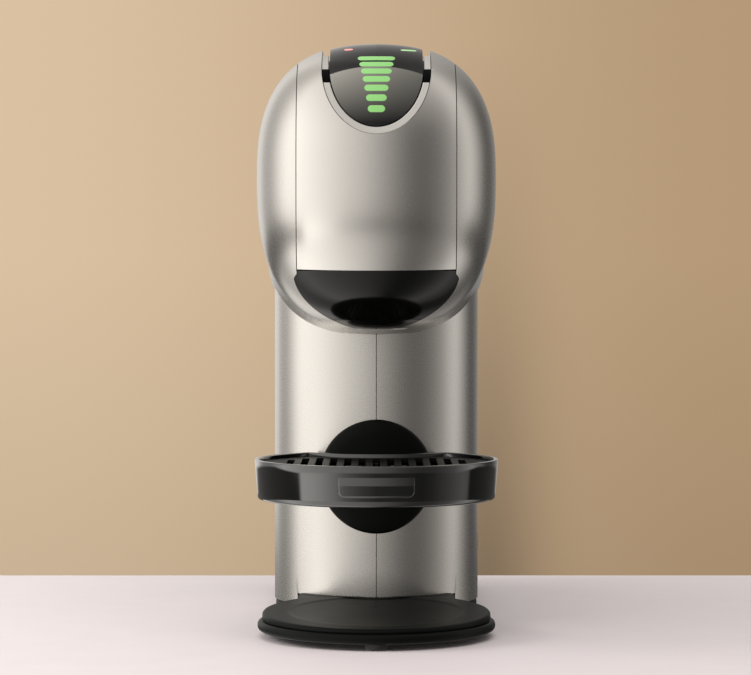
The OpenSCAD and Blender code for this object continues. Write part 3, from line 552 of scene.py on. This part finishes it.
def handle_grids(inset):
    """Grids of the handle's skin: the front up to the notch, then the two arms over the crest."""
    half, edge = SEAM - 0.2, TONGUE_HALF + RING_OUT
    xs = notch_columns(half, edge)
    upper = np.where(np.abs(xs) < edge, tongue_edge(xs, RING_OUT), TURN_Z)
    low = egg_angle(HANDLE_LOW, inset)
    # the lower edge hangs a little lower in the middle than at the seams
    low = low - 0.012 * (1 - (xs / half) ** 2)
    angle = low + (egg_angle(upper, inset) - low) * spread(0, 1, 56)[:, None]
    front = front_point(np.broadcast_to(xs, angle.shape), angle, inset)
    arms = [strip(side * spread(edge, half, 8), egg_angle(TURN_Z, inset), HINGE_Y, inset, 20, 12)
            for side in (-1, 1)]
    return [front] + arms


def barrel(side):
    """The hinge barrel: a cylinder about the hinge, flattened where the head's surface is lower."""
    turn = spread(0, 2 * math.pi, 73)[:-1]
    loops = []
    for x, shrink in ((BARREL_IN, 0.5), (BARREL_IN + 0.5, 0), (SEAM - 0.8, 0), (SEAM - 0.3, 0.5)):
        y = HINGE_Y + (BARREL_R - shrink) * np.cos(turn)
        z = HINGE_Z + (BARREL_R - shrink) * np.sin(turn)
        roof = rear_point(x, egg(crest_angle(x))[1], np.maximum(y, AXIS_Y))[:, 2] - 0.05 - shrink
        loops.append(np.stack([np.full(turn.size, side * x), y, np.minimum(z, roof)], -1))
    return stacked_loops(loops)


def make_handle():
    """The handle's panel and arms with a hinge barrel at each arm's end."""
    blocks = [closed_shell(a, b) for a, b in zip(handle_grids(0.0), handle_grids(2.8))]
    blocks += [barrel(-1), barrel(1)]
    new_piece("handle_panel", blocks, HANDLE_SILVER, "handle", ("locking_handle",),
              bevel=0.35)


def make_ring():
    """The bevelled ring: its section is carried along the notch's outline from crest to crest."""
    section = [(RING_OUT - 0.05, 0.35), (RING_OUT - 0.35, 0.12), (RING_IN + 0.6, 1.0), (RING_IN + 0.15, 1.15),
               (RING_IN, 1.35), (RING_OUT - 1.6, 2.0), (RING_OUT - 0.05, 2.0)]
    arm_ahead = 22
    round_part = spread(-math.pi / 2, math.pi / 2, 60)
    loops = []
    for grow, inset in section:
        half, drop = TONGUE_HALF + grow, TONGUE_DROP + grow
        top = egg(crest_angle(np.hypot(half, arm_ahead), inset), inset)[1]
        rise = spread(top, TURN_Z, 14)[:-1]
        x = np.concatenate([np.full(rise.size, -half), half * np.sin(round_part), np.full(rise.size, half)])
        z = np.concatenate([rise, TURN_Z - drop * np.cos(round_part), rise[::-1]])
        loops.append(front_point(x, egg_angle(z, inset), inset))
    new_piece("notch_bevel", [stacked_loops(np.stack(loops, 1))], CHROME, "handle",
              ("notch_ring",), sharp=50)


def make_tongue():
    """The touch panel: a strip of a smaller egg, lifted, from its round end over the crest to the roof."""
    xs = TONGUE_HALF * sine_spread(44)
    grids = []
    for inset in (LENS_INSET, LENS_INSET + 2.4):
        low = egg_angle(tongue_edge(xs, 0) - LENS_LIFT, inset)
        grid = strip(xs, low, ROOF_FRONT - 0.3, inset, 60, 14)
        grid[..., 2] += LENS_LIFT
        grids.append(grid)
    new_piece("touch_panel", [closed_shell(*grids)], PANEL_BLACK, "body", ("display_lens",),
              bevel=0.5, segments=3)


def pill(centre_x, angle, half, height):
    """A window with round ends on the panel: rings of a stadium outline laid on the panel's surface."""
    r, proud, depth = height / 2, 0.07, 0.35
    straight = max(half - r, 0.01)
    turn = spread(-math.pi / 2, math.pi / 2, 24)
    along = spread(straight, -straight, 16)[1:-1]
    right = np.stack([straight + r * np.cos(turn), r * np.sin(turn)], -1)
    top = np.stack([along, np.full(along.size, r)], -1)
    outline = np.concatenate([right, top, -right, -top])
    speed = np.linalg.norm(front_point(centre_x, angle + 0.01, LENS_INSET)
                           - front_point(centre_x, angle - 0.01, LENS_INSET)) / 0.02
    loops = []
    for scale, inset in ((0.02, -proud), (0.3, -proud), (0.6, -proud), (0.9, -proud), (1.0, -proud * 0.2),
                         (1.0, depth), (0.6, depth), (0.02, depth)):
        loop = front_point(centre_x + scale * outline[:, 0], angle + scale * outline[:, 1] / speed,
                           LENS_INSET + inset)
        loop[:, 2] += LENS_LIFT
        loops.append(loop)
    return stacked_loops(loops)


def make_lamps():
    """Seven level bars, each wider than the one below, and a status lamp either side of the crest."""
    bars = [pill(0.0, math.radians(21.2 + 5.5 * i), (7.6 + 1.5 * i) / 2, 3.2) for i in range(7)]
    new_piece("level_bars", bars, BAR_GREEN, "body", ("light_bars",))
    new_piece("status_red", [pill(-12.5, math.radians(66), 2.0, 2.6)], LAMP_RED, "body",
              ("status_lights",))
    new_piece("status_green", [pill(14.5, math.radians(65), 3.6, 2.2)], LAMP_GREEN, "body")


def cheek_grid(side, inset):
    """One side of the head: for each height from the seam or the half moon round the front, then back."""
    low, high = egg_angle(BELLY_Z + 0.5, inset), crest_angle(SEAM + SEAM_GAP, inset)
    t = spread(0, 1, 110)
    angle = low + (high - low) * (t + 0.12 * np.sin(2 * math.pi * t) / (2 * math.pi))
    half, z = egg(angle, inset)
    start = np.where(z > HANDLE_LOW - 0.6, SEAM + SEAM_GAP, moon_edge(z, SEAM_GAP))
    start = np.minimum(np.maximum(start, 0.5), half)
    first = np.arcsin(start / half)
    u = spread(0, 1, 34)[None]
    turn = first[:, None] + (math.pi / 2 - first[:, None]) * u
    front = np.stack([side * half[:, None] * np.sin(turn), AXIS_Y - half[:, None] * np.cos(turn),
                      np.broadcast_to(z[:, None], turn.shape)], -1)
    y = spread(COLUMN_Y, BODY_REAR, 400)[None]
    under = rear_point(0, z[:, None], y)[..., 2] > UNDER_Z + inset + (y - COLUMN_Y) * math.tan(UNDER_RISE)
    reach = COLUMN_Y + (BODY_REAR - COLUMN_Y) * under.mean(1)
    hidden = COLUMN_Y - np.sqrt(np.maximum(COLUMN_R**2 - half**2, 0)) + 4.0
    reach = np.where((z < HEAD_MID) & (half < COLUMN_R - 0.3), np.minimum(hidden, reach), reach)
    s = spread(0, 1, 30)[None, 1:]
    rear = rear_point(side * half[:, None], z[:, None], AXIS_Y + (reach[:, None] - AXIS_Y) * s)
    # the rising lower edge is closed inwards to the column's side
    end = rear[:, -1:].copy()
    end[:, 0, 0] = side * np.minimum(half - 0.3, COLUMN_R - 0.4)
    return np.concatenate([front, rear, end], 1)


def column_grid(side, inset):
    """One half of the column: the plan from the slot round to the rear, drawn up to the head."""
    radius = COLUMN_R - inset
    first = math.asin(SLOT_HALF / radius)
    notch = math.asin((COLLAR_HALF + 0.3) / COLUMN_R)
    turn = np.concatenate([spread(first, notch, 40), spread(notch + 0.0006, math.pi / 2, 30)])
    foot = np.concatenate([np.full(40, COLUMN_FOOT), np.full(46, SKIRT)])
    x = np.concatenate([radius * np.sin(turn), np.full(16, radius)])
    y = np.concatenate([COLUMN_Y - radius * np.cos(turn), spread(COLUMN_Y, BODY_REAR, 17)[1:]])
    # the front ends under the belly, the sides inside the head
    top = np.where(x < SEAM - 0.2, 146.8, 194.0)
    z = foot + (top - foot) * spread(0, 1, 26)[:, None]
    return np.stack([np.broadcast_to(side * x, z.shape), np.broadcast_to(y, z.shape), z], -1)


def make_shells():
    """The two side shells, each a cheek of the head and a half of the column."""
    for side, name in ((-1, "left"), (1, "right")):
        for part, grid, replaced in (("cheek", cheek_grid, (name + "_shell",)), ("column", column_grid, ())):
            skin = closed_shell(grid(side, 0.0), grid(side, WALL))
            new_piece(f"{name}_{part}", [skin], SILVER, "body", replaced, bevel=0.35)


def make_roof():
    """The roof cover: a strip of the bend, hollowed in front round the handle's barrels."""
    grids = []
    for inset in (0.0, WALL):
        arm, middle = spread(HOLLOW_X + 0.02, SEAM, 9), HOLLOW_X - 0.02
        xs = np.concatenate([-arm[::-1], spread(-middle, middle, 30), arm])
        z = egg(crest_angle(xs, inset), inset)[1]
        rise = np.clip(z - 1.0 - HINGE_Z, 0.2 - HOLLOW_R, HOLLOW_R - 0.2)
        hollow = HINGE_Y + np.sqrt(HOLLOW_R**2 - rise**2)
        start = np.where(np.abs(xs) > HOLLOW_X, hollow, ROOF_FRONT)
        s = spread(0, 1, 40)[:, None]
        grids.append(rear_point(xs[None], z[None], start[None] + (BODY_REAR - start[None]) * s))
    new_piece("roof_panel", [closed_shell(*grids)], SILVER, "body", ("roof_cover",),
              bevel=0.4)


make_handle()
make_ring()
make_tongue()
make_lamps()
make_shells()
make_roof()

# ---- Capsule holder ----


def moon_grid(inset):
    """The holder's front: rows of constant height on the head's surface between the half moon's edges."""
    z = HOLDER_TOP - (HOLDER_TOP - BELLY_Z) * np.sin(spread(0, math.pi / 2, 44)) ** 1.4
    half = np.minimum(moon_edge(z, -0.1), egg(egg_angle(z, inset), inset)[0] * 0.985)
    x = half[:, None] * sine_spread(61)
    zz = np.broadcast_to(z[:, None], x.shape)
    return front_point(x, egg_angle(zz, inset), inset)


def make_holder():
    """The drawer: its half moon front, the capsule's cup, the deck between them and two ribs with a tail."""
    cap = closed_shell(moon_grid(0.0), moon_grid(2.6))
    bore, spout = 4.0, 6.0
    cup = lathe([(bore, WELL_FLOOR), (WELL_R - 1.0, WELL_FLOOR), (WELL_R, WELL_FLOOR + 1),
                 (WELL_R, HOLDER_TOP - 0.6), (WELL_R + 0.5, HOLDER_TOP), (CUP_R - 0.5, HOLDER_TOP),
                 (CUP_R, HOLDER_TOP - 0.5), (CUP_R, CUP_LOW + 1), (CUP_R - 1.5, CUP_LOW),
                 (spout + 0.5, CUP_LOW), (spout, BELLY_Z + 0.3), (bore, BELLY_Z)],
                (0.0, WELL_Y), 72, joined=True)
    deck = []
    x = spread(-30, 30, 41)
    for inset, z in ((2.7, 164.0), (2.7, HOLDER_TOP - 0.4), (3.1, HOLDER_TOP)):
        front = front_point(x, egg_angle(z, inset), inset)
        front[:, 2] = z
        back = front[::-1].copy()
        back[:, 1] = WELL_Y - np.sqrt(np.maximum((CUP_R - 0.6) ** 2 - x[::-1] ** 2, 0)) * 0.98
        back[:, 1] = np.minimum(back[:, 1], WELL_Y - 0.5)
        deck.append(np.concatenate([front, back]))
    tail = [rounded_box((middle - 2.15, WELL_Y - 17, RIB_Z), (middle + 2.15, TAIL_REAR, RIB_Z + 4))
            for middle in (-20.55, 20.55)]
    tail.append(rounded_box((-19.0, WELL_Y + 19.5, RIB_Z), (19.0, TAIL_REAR, RIB_Z + 3.2)))
    new_piece("holder_front", [cap], DRAWER_BLACK, "holder", ("capsule_holder",), bevel=0.35)
    new_piece("holder_drawer", [cup, stacked_loops(deck)] + tail, GLOSS_BLACK, "holder",
              sharp=30)


make_holder()

# ---- Drip tray and its carrier ----


def tray_plan(inset, z):
    """The tray's plan: a circle whose back is hollowed round the column, both set in by inset."""
    taper = TRAY_TAPER * (1 - (z - TRAY_LOW) / (TRAY_HIGH - TRAY_LOW))
    radius, back = TRAY_R - taper - inset, TRAY_BACK_R + inset
    gap = COLUMN_Y - AXIS_Y
    along = (radius**2 - back**2 + gap**2) / (2 * gap)
    corner = math.acos(along / radius)
    turn = spread(math.pi / 2 + corner, 2.5 * math.pi - corner, 150)
    front = np.stack([radius * np.cos(turn), AXIS_Y + radius * np.sin(turn)], -1)
    side = math.acos((gap - along) / back)
    sweep = spread(-math.pi / 2 + side, -math.pi / 2 - side, 52)[1:-1]
    rear = np.stack([back * np.cos(sweep), COLUMN_Y + back * np.sin(sweep)], -1)
    return raised(np.concatenate([front, rear]), z)


def shrunk(loop, part):
    """A loop drawn towards a point in the front half of the tray."""
    centre = np.array([0.0, AXIS_Y - 8.0, loop[0, 2]])
    return centre + (loop - centre) * part


def make_tray():
    """The tray: a skin from under its floor up the outside, over the rim and down to its floor; two lugs."""
    wall = 2.2
    floor, ledge = TRAY_LOW + wall, TRAY_HIGH - 4.3
    outer = loops_at(
        tray_plan, (3.0, TRAY_LOW), (1.1, TRAY_LOW), (0.35, TRAY_LOW + 0.35), (0.0, TRAY_LOW + 1.1),
        *((0.0, z) for z in spread(TRAY_LOW + 3, TRAY_HIGH - 1.0, 6)))
    rim = loops_at(
        tray_plan, (0.08, TRAY_HIGH - 0.45), (0.35, TRAY_HIGH - 0.1), (0.8, TRAY_HIGH),
        (wall - 0.6, TRAY_HIGH), (wall - 0.1, TRAY_HIGH - 0.35))
    inner = loops_at(
        tray_plan, (wall, TRAY_HIGH - 1.0), (wall, ledge + 0.2), (wall + 0.3, ledge), (wall + 1.6, ledge),
        (wall + 1.7, ledge - 1.8), (wall, ledge - 2.6), (wall, floor + 1.0), (wall + 1.0, floor),
        (wall + 4, floor))
    under = [shrunk(outer[0], part) for part in (0.03, 0.5)]
    over = [shrunk(inner[-1], part) for part in (0.5, 0.03)]
    blocks = [stacked_loops(under + outer + rim + inner + over)]
    blocks += [rounded_box((x - 6, -51.4, TRAY_LOW + 1.5), (x + 6, -46.0, TRAY_LOW + 13.2), 1.0)
               for x in (-LUG_X, LUG_X)]
    new_piece("tray_bowl", blocks, GLOSS_BLACK, "tray", ("drip_tray",), sharp=40)


def make_badge():
    """The bare plate: a patch of the tray's wall, proud at its foot and sides and level at its top."""
    half, low, high, corner = 16.9, TRAY_LOW + 4.4, TRAY_LOW + 13.4, 3.2
    z = (low + (high - low) * spread(0, 1, 26))[:, None]
    drop = np.clip(corner - (z - low), 0, corner)
    width = half - corner + np.sqrt(np.maximum(corner**2 - drop**2, 0))
    x = width * sine_spread(61)
    z = np.broadcast_to(z, x.shape)
    edge = np.minimum(width - np.abs(x), z - low) / 0.5
    fade = 0.15 + 0.85 * np.clip((high - z) / 3.5, 0, 1)
    wall = TRAY_R - TRAY_TAPER * (1 - (z - TRAY_LOW) / (TRAY_HIGH - TRAY_LOW))
    grids = [np.stack([x, AXIS_Y - np.sqrt((wall + proud) ** 2 - x**2), z], -1)
             for proud in (0.32 * np.sqrt(np.clip(edge, 0, 1)) * fade, -0.6)]
    new_piece("bare_plate", [closed_shell(*grids)], GLOSS_BLACK, "tray", ("badge",), sharp=60)


def make_carrier():
    """The disc: rings of a circle seen from the front, laid on a cylinder round the column's axis."""
    centre = (TRAY_LOW + TRAY_HIGH) / 2 - 2.0
    turn = spread(0, 2 * math.pi, 121)[:-1]
    loops = []
    for part, radius in ((0.02, 3.4), (0.4, 3.4), (0.75, 3.4), (0.955, 3.4), (0.985, 3.1), (1.0, 2.5),
                         (1.0, 0.4), (0.75, 0.4), (0.4, 0.4), (0.02, 0.4)):
        x, z = DISC_R * part * np.cos(turn), centre + DISC_R * part * np.sin(turn)
        loops.append(np.stack([x, COLUMN_Y - np.sqrt((COLUMN_R + radius) ** 2 - x**2), z], -1))
    # the blade goes through the column's slot to the slider behind it; the two hooks carry the tray
    low, high = TRAY_LOW - 1, TRAY_LOW + 21
    blocks = [stacked_loops(loops), rounded_box((-0.14, -COLUMN_R + 9.4, low), (0.14, -30, high), 0.05),
              rounded_box((-5.7, -36, low), (5.7, -28, high), 0.8)]
    blocks += [rounded_box((x - 3, -49, TRAY_LOW + 2), (x + 3, -41.2, TRAY_LOW + 11), 0.8)
               for x in (-LUG_X, LUG_X)]
    new_piece("carrier_disc", blocks, SATIN_BLACK, "carrier", ("tray_carrier",), sharp=40)


make_tray()
make_badge()
make_carrier()

# ---- Base ----


def arc(centre, radius, start, end, steps):
    """Points of a circle from angle start to angle end, in degrees."""
    turn = np.radians(spread(start, end, steps))
    return np.stack([centre[0] + radius * np.cos(turn), centre[1] + radius * np.sin(turn)], -1)


def base_plan(inset, z, back_half):
    """The base's plan: a round front, a straight collar, the column's foot behind with rounded corners.

    Up to the shells' rear end the foot is back_half wide; the upper tier is wider from there on.
    """
    front_r, web = BASE_R - inset, COLLAR_HALF + TIER_STEP - inset
    rear = BASE_REAR - inset
    wide = back_half if z < BASE_MID else COLUMN_R - (inset - TIER_STEP)
    front = arc((0, AXIS_Y), front_r, -90, math.degrees(math.acos(web / front_r)), 90)
    hip_angle = -math.degrees(math.acos(web / back_half))
    hip = arc((0, COLUMN_Y), back_half, hip_angle, 0, 20)
    collar = np.stack([np.full(10, web), spread(front[-1, 1], hip[0, 1], 12)[1:-1]], -1)
    side = np.stack([np.full(16, back_half), spread(COLUMN_Y, BODY_REAR + 0.3, 17)[1:]], -1)
    behind = np.stack([np.full(6, wide), spread(BODY_REAR + 0.35, rear - CORNER_R, 7)[:-1]], -1)
    corner = arc((wide - CORNER_R, rear - CORNER_R), CORNER_R, 0, 90, 22)
    right = np.concatenate([front, collar, hip, side, behind, corner])
    return raised(np.concatenate([right, right[:0:-1] * [-1, 1]]), z)


def base_top(x, y):
    """Height of the upper tier: level behind, falling to the front, with a shallow dish and a lip."""
    column_front = COLUMN_Y - COLUMN_R
    fall = np.clip((column_front - 1 - y) / (BASE_R - AXIS_Y + column_front), 0, 1) * FRONT_DROP
    away = np.hypot(x, y - AXIS_Y)
    dish = DISH_DEPTH * np.clip(1 - (away / DISH_R) ** 2, 0, 1)
    crease = 0.35 / (1 + np.exp((away - DISH_R) / 0.5))
    around = np.hypot(x, y - COLUMN_Y)
    lip = 0.4 * np.clip((53.6 - around) / 1.2, 0, 1) * np.clip((36.5 - np.abs(x)) / 1.2, 0, 1)
    return BASE_TOP - fall - dish - crease + lip * (y < COLUMN_Y)


def make_base():
    """The lower tier, the upper tier with its relief and the tank's platform, and five feet."""
    profile = ((4.0, BASE_LOW), (1.6, BASE_LOW), (0.7, BASE_LOW + 0.5), (0.15, BASE_LOW + 1.4),
               (0.0, BASE_LOW + 2.2), (0.1, BASE_MID - 1.3), (0.5, BASE_MID - 0.5), (1.2, BASE_MID - 0.01),
               (3.2, BASE_MID - 0.01))
    lower = [base_plan(inset, z, COLUMN_R - 0.5 - inset) for inset, z in profile]
    new_piece("base_lower_tier", [stacked_loops(lower)], SATIN_BLACK, "body", ("base_plate",),
              sharp=50)
    sides = []
    for inset, share in ((3.6, 0.0), (2.9, 0.0), (2.3, 0.12), (2.2, 0.3), (2.2, 0.6), (2.35, 0.82),
                         (2.8, 0.95), (3.5, 1.0)):
        loop = base_plan(inset, BASE_MID, COLUMN_R - WALL - 0.3 - (inset - TIER_STEP))
        top = base_top(loop[:, 0], loop[:, 1])
        loop[:, 2] = BASE_MID + (top - BASE_MID) * share
        sides.append(loop)
    middle = np.array([0.0, AXIS_Y + 42, 0.0])
    edge = sides[-1]
    for part in 1 - spread(0, 1, 80)[1:-1] ** 0.9:
        loop = middle + (edge - middle) * part
        loop[:, 2] = base_top(loop[:, 0], loop[:, 1])
        sides.append(loop)
    platform = loops_at(tank_plan, (6.0, BASE_TOP - 0.5), (6.0, TANK_LOW - 0.8), (6.4, TANK_LOW - 0.4),
                        (8.0, TANK_LOW - 0.3))
    blocks = [stacked_loops(sides), stacked_loops(platform)]
    new_piece("base_upper_tier", blocks, SATIN_BLACK, "body", ("base_cover",), sharp=40)
    places = ((0, AXIS_Y - BASE_R + 6.6), (-40, AXIS_Y + 8), (40, AXIS_Y + 8), (-38, 100), (38, 100))
    feet = [lathe([(1, 0), (3.6, 0), (4.5, 0.3), (5.0, 1.0), (5.0, BASE_LOW)], place, 40) for place in places]
    new_piece("feet", feet, FOOT_RUBBER, "body", ("rubber_feet",))


def make_needle_hose():
    """The soft hose between heater and needle: a tube as wide and as tall as the CAD hose."""
    low, high = node_low("brew_hose"), node_high("brew_hose")
    wide, bore, rise = (high[0] - low[0]) / 2, 1.8, 8.0
    centre = ((low[0] + high[0]) / 2, (low[1] + high[1]) / 2)
    tube = lathe([(bore, low[2]), (wide, low[2]), (wide, high[2]), (bore, high[2])], centre, 48, joined=True)
    hose = new_piece("needle_hose", [tube], HOSE, "body", ("brew_hose",), bevel=0.2)
    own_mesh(hose)


# ---- Water tank ----


def tank_plan(inset, z):
    """The tank's plan: a flat front and a half circle behind, with cut corners, set in by inset."""
    radius, corner = TANK_R - inset, 1.25
    first = math.asin(inset / radius) + 0.06
    turn = spread(first, math.pi - first, 96)
    rear = np.stack([radius * np.cos(turn), TANK_FRONT + radius * np.sin(turn)], -1)
    front = np.column_stack([spread(-1, 1, 40) * (rear[0, 0] - corner), np.full(40, TANK_FRONT + inset)])
    return raised(np.concatenate([rear, front]), z)


def make_tank():
    """The tank's bowl: up the outside, over the rim and down the inside to its floor."""
    wall = 2.2
    outer = loops_at(
        tank_plan, (3.0, TANK_LOW), (1.0, TANK_LOW), (0.3, TANK_LOW + 0.4), (0.0, TANK_LOW + 1.2),
        *((0.0, z) for z in spread(TANK_LOW + 5, TANK_RIM - 0.6, 12)))
    inner = loops_at(
        tank_plan, (0.3, TANK_RIM - 0.1), (0.8, TANK_RIM), (wall - 0.4, TANK_RIM), (wall, TANK_RIM - 0.5),
        *((wall, z) for z in spread(TANK_RIM - 4, TANK_LOW + 5, 12)),
        (wall + 0.6, TANK_LOW + 3.6), (wall + 2.0, TANK_LOW + 3.0))
    new_piece("tank_bowl", [stacked_loops(outer + inner)], SMOKED, "tank", ("water_tank",),
              sharp=40)


make_tank()
make_base()
make_needle_hose()

# ---- CAD nodes that keep their own shape ----

FINISHES = {
    INNER_BLACK: ["rear_panel", "chassis", "brew_housing", "drawer_guide", "tray_rail", "tank_socket",
                  "cord_gland", "handle_liner"],
    SILVER: ["belly_cover"],
    ZINC: ["base_screws", "panel_screws", "hinge_pins", "lid_pin"],
    STAINLESS: ["guide_rods", "needle", "steam_pipe", "valve_spring"],
    GLOSS_BLACK: ["tank_lid"],
    SATIN_BLACK: ["drip_grid"],
    FOOT_RUBBER: ["pump_mounts"],
    SEAL_RUBBER: ["capsule_seal", "tank_seal"],
    NYLON: ["needle_carriage", "flow_meter"],
    HOSE: ["pressure_tube", "suction_tubes"],
    PUMP_BROWN: ["pump"],
    CAST: ["thermoblock"],
    SENSOR: ["thermostats"],
    BOARD: ["control_board", "display_board"],
    CHIP: ["board_parts"],
    VALVE: ["tank_valve"],
}
for finish, names in FINISHES.items():
    for name in names:
        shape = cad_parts[name]
        shape.data.materials.clear()
        shape.data.materials.append(finish)

# ---- Table, wall, light and camera ----


def wall_material():
    """A tan wall that gives off its own light, with painted light in its colour: a painted falloff from the
    brighter left to the right, and a little towards the foot.
    """
    material, tree, shader = new_material("wall_tan_with_painted_light")
    tree.nodes.remove(shader)
    x, z = object_xz(tree)
    # painted light: the colour falls off from the bright left to the right, and the level drops towards the
    # foot
    painted_falloff_tones = mixed(tree, ranged(tree, x, -0.55, 0.55, interpolation_type="SMOOTHSTEP"), "#dac1a2", "#b59978")
    down = ranged(tree, z, -0.4, 0.2, 0.78, 1.0)
    # painted shadow of the machine: a darker band right of it that deepens towards the foot
    painted_shadow_x, painted_shadow_width = 0.15, 0.06
    off = worked(tree, "SUBTRACT", x, painted_shadow_x)
    off = worked(tree, "MULTIPLY", worked(tree, "MULTIPLY", off, off), -1 / (2 * painted_shadow_width**2))
    depth = ranged(tree, z, -0.25, 0.5, -0.5, 0.0)
    shade = worked(tree, "MULTIPLY_ADD", worked(tree, "EXPONENT", off), depth, 1.0)
    level = worked(tree, "MULTIPLY", shade, down)
    glow = add(tree, "ShaderNodeEmission", [(painted_falloff_tones, "Color"), (level, "Strength")])
    tree.links.new(glow.outputs["Emission"], tree.nodes["Material Output"].inputs["Surface"])
    return material


def staged(name, points, material):
    """One flat four-sided piece of the set."""
    mesh = bpy.data.meshes.new(name)
    mesh.from_pydata(points, [], [(0, 1, 2, 3)])
    mesh.materials.append(material)
    obj = bpy.data.objects.new(name, mesh)
    scene.collection.objects.link(obj)
    # reflections show the light round the machine alone; the wall gives the matt surfaces no light
    obj.visible_glossy = False
    obj.visible_diffuse = name != "wall"


def make_stage():
    """A table whose rear edge lies close behind the machine, and a wall well behind it."""
    side, near, far = 0.75, -0.50, 0.172
    # matt lacquered board: pale, a shade pink, with a fine uneven sheen
    board = plastic("lacquered_board_pale", "#e6dfe1", 0.6, 2.0, 0.02, "#e1d9db", spread_rough=0.02)
    staged("table_top", [(-side, near, 0), (side, near, 0), (side, far, 0), (-side, far, 0)], board)
    wide, wall_y, low, high = 2.4, 2.4, -1.2, 1.8
    staged("wall", [(-wide, wall_y, low), (wide, wall_y, low), (wide, wall_y, high), (-wide, wall_y, high)],
           wall_material())


# Light round the machine: azimuth in degrees from the front, positive to the right, and level
LIGHT_ROUND = [
    (-180, 0.60), (-150, 1.20), (-136, 0.62), (-120, 0.62), (-106, 1.40), (-97, 1.95), (-85, 1.80),
    (-66, 1.55), (-50, 1.32), (-35, 1.12), (-25, 1.00), (-13, 0.86), (-2, 0.68), (10, 0.50), (21, 0.33),
    (33, 0.20), (45, 0.17), (56, 0.20), (66, 0.28), (78, 0.42), (90, 0.78), (102, 1.10), (106, 0.90),
    (116, 0.50), (126, 0.13), (138, 0.10), (156, 0.30), (180, 0.50),
]
# The same low down, where gloss parts mirror the foot of the window
LIGHT_LOW = [
    (-180, 0.16), (-104, 0.10), (-80, 0.05), (-76, 2.1), (-65, 2.0), (-55, 1.7), (-43, 1.2), (-30, 0.60),
    (-15, 0.3), (0, 0.13), (44, 0.07), (56, 0.12), (74, 0.3), (91, 0.48), (97, 0.42), (101, 0.05),
    (180, 0.10),
]


def light_ramp(tree, place, levels):
    """Colour ramp over the azimuth, its highest level as 1; gives back the colour and that level."""
    top = max(level for degrees, level in levels)
    ramp = add(tree, "ShaderNodeValToRGB", [(place, "Fac")])
    stops = ramp.color_ramp.elements
    stops.remove(stops[1])
    for degrees, level in levels:
        stop = stops[0] if degrees == levels[0][0] else stops.new((degrees + 180) / 360)
        part = level / top
        stop.color = (part, part * 0.965, part * 0.925, 1)
    return ramp.outputs["Color"], top


def background(tree, colour, strength):
    """The output of a world background."""
    node = add(tree, "ShaderNodeBackground", Strength=strength)
    feed(tree, node.inputs["Color"], colour)
    return node.outputs["Background"]


def blended(tree, amount, first, second):
    """The output of a node that mixes two shaders."""
    return add(tree, "ShaderNodeMixShader", [(amount, 0), (first, 1), (second, 2)]).outputs[0]


def make_world():
    """Light that changes with the direction round the machine, as broad soft lamps and dark cards give it."""
    world = bpy.data.worlds.new("studio")
    scene.world = world
    world.use_nodes = True
    tree = world.node_tree
    way = add(tree, "ShaderNodeTexCoord").outputs["Generated"]
    way = add(tree, "ShaderNodeSeparateXYZ", [(way, "Vector")])
    up = way.outputs["Z"]
    azimuth = worked(tree, "ARCTAN2", way.outputs["X"], worked(tree, "MULTIPLY", way.outputs["Y"], -1.0))
    place = ranged(tree, azimuth, -math.pi, math.pi)
    path = add(tree, "ShaderNodeLightPath").outputs
    level, low_level = (background(tree, *light_ramp(tree, place, levels))
                        for levels in (LIGHT_ROUND, LIGHT_LOW))
    # the low band starts higher towards the rear, and only gloss mirrors it
    start = ranged(tree, worked(tree, "ABSOLUTE", azimuth), 1.4, 1.95, -0.175, -0.085)
    low = ranged(tree, up, worked(tree, "SUBTRACT", start, 0.02), start, 1.0, 0.0)
    low = worked(tree, "MULTIPLY", low, ranged(tree, up, -0.30, -0.28))
    low = worked(tree, "MULTIPLY", low, path["Is Glossy Ray"])
    sky = background(tree, "#fffaf5", 0.85)
    studio = blended(tree, ranged(tree, up, 0.3, 0.95, 0.0, 0.8), blended(tree, low, level, low_level), sky)
    seen = worked(tree, "MAXIMUM", path["Is Camera Ray"], path["Is Transmission Ray"])
    final = blended(tree, seen, studio, background(tree, "#c9ad86", 1.0))
    tree.links.new(final, tree.nodes["World Output"].inputs["Surface"])


def soft_box(name, azimuth, elevation, away, size, level):
    """A rectangular studio lamp aimed at the machine's middle, placed by angles from the front.

    Its power is its level of light times pi times its area.
    """
    middle = Vector((0.0, -0.03, 0.14))
    turn, rise = math.radians(azimuth), math.radians(elevation)
    way = Vector((math.sin(turn) * math.cos(rise), -math.cos(turn) * math.cos(rise), math.sin(rise)))
    lamp = bpy.data.lights.new(name, "AREA")
    lamp.shape = "RECTANGLE"
    lamp.size, lamp.size_y = size
    lamp.energy = math.pi * size[0] * size[1] * level
    lamp.color = linear("#fffaf8")[:3]
    obj = bpy.data.objects.new(name, lamp)
    obj.location = middle + way * away
    obj.rotation_euler = (-way).to_track_quat("-Z", "Y").to_euler()
    scene.collection.objects.link(obj)
    obj.visible_glossy = False


def make_light():
    """Two lamps light the matt surfaces; the sheen on the metal comes from the light round the machine."""
    make_world()
    soft_box("overhead", 14, 58, 1.0, (0.85, 0.46), 2.6)
    soft_box("left_fill", -84, 16, 0.7, (0.3, 0.24), 9.0)


def make_camera():
    """A long lens a little above the tray, turned slightly down."""
    camera = bpy.data.cameras.new("camera")
    camera.sensor_width = 36.0
    camera.lens = 127.0
    camera.clip_start, camera.clip_end = 0.05, 20.0
    obj = bpy.data.objects.new("camera", camera)
    obj.location = (-0.0004, -1.296, 0.1623)
    obj.rotation_euler = (math.radians(90 - 1.178), 0, 0)
    scene.collection.objects.link(obj)
    scene.camera = obj


make_stage()
make_light()
make_camera()
scene.view_settings.view_transform = "Standard"
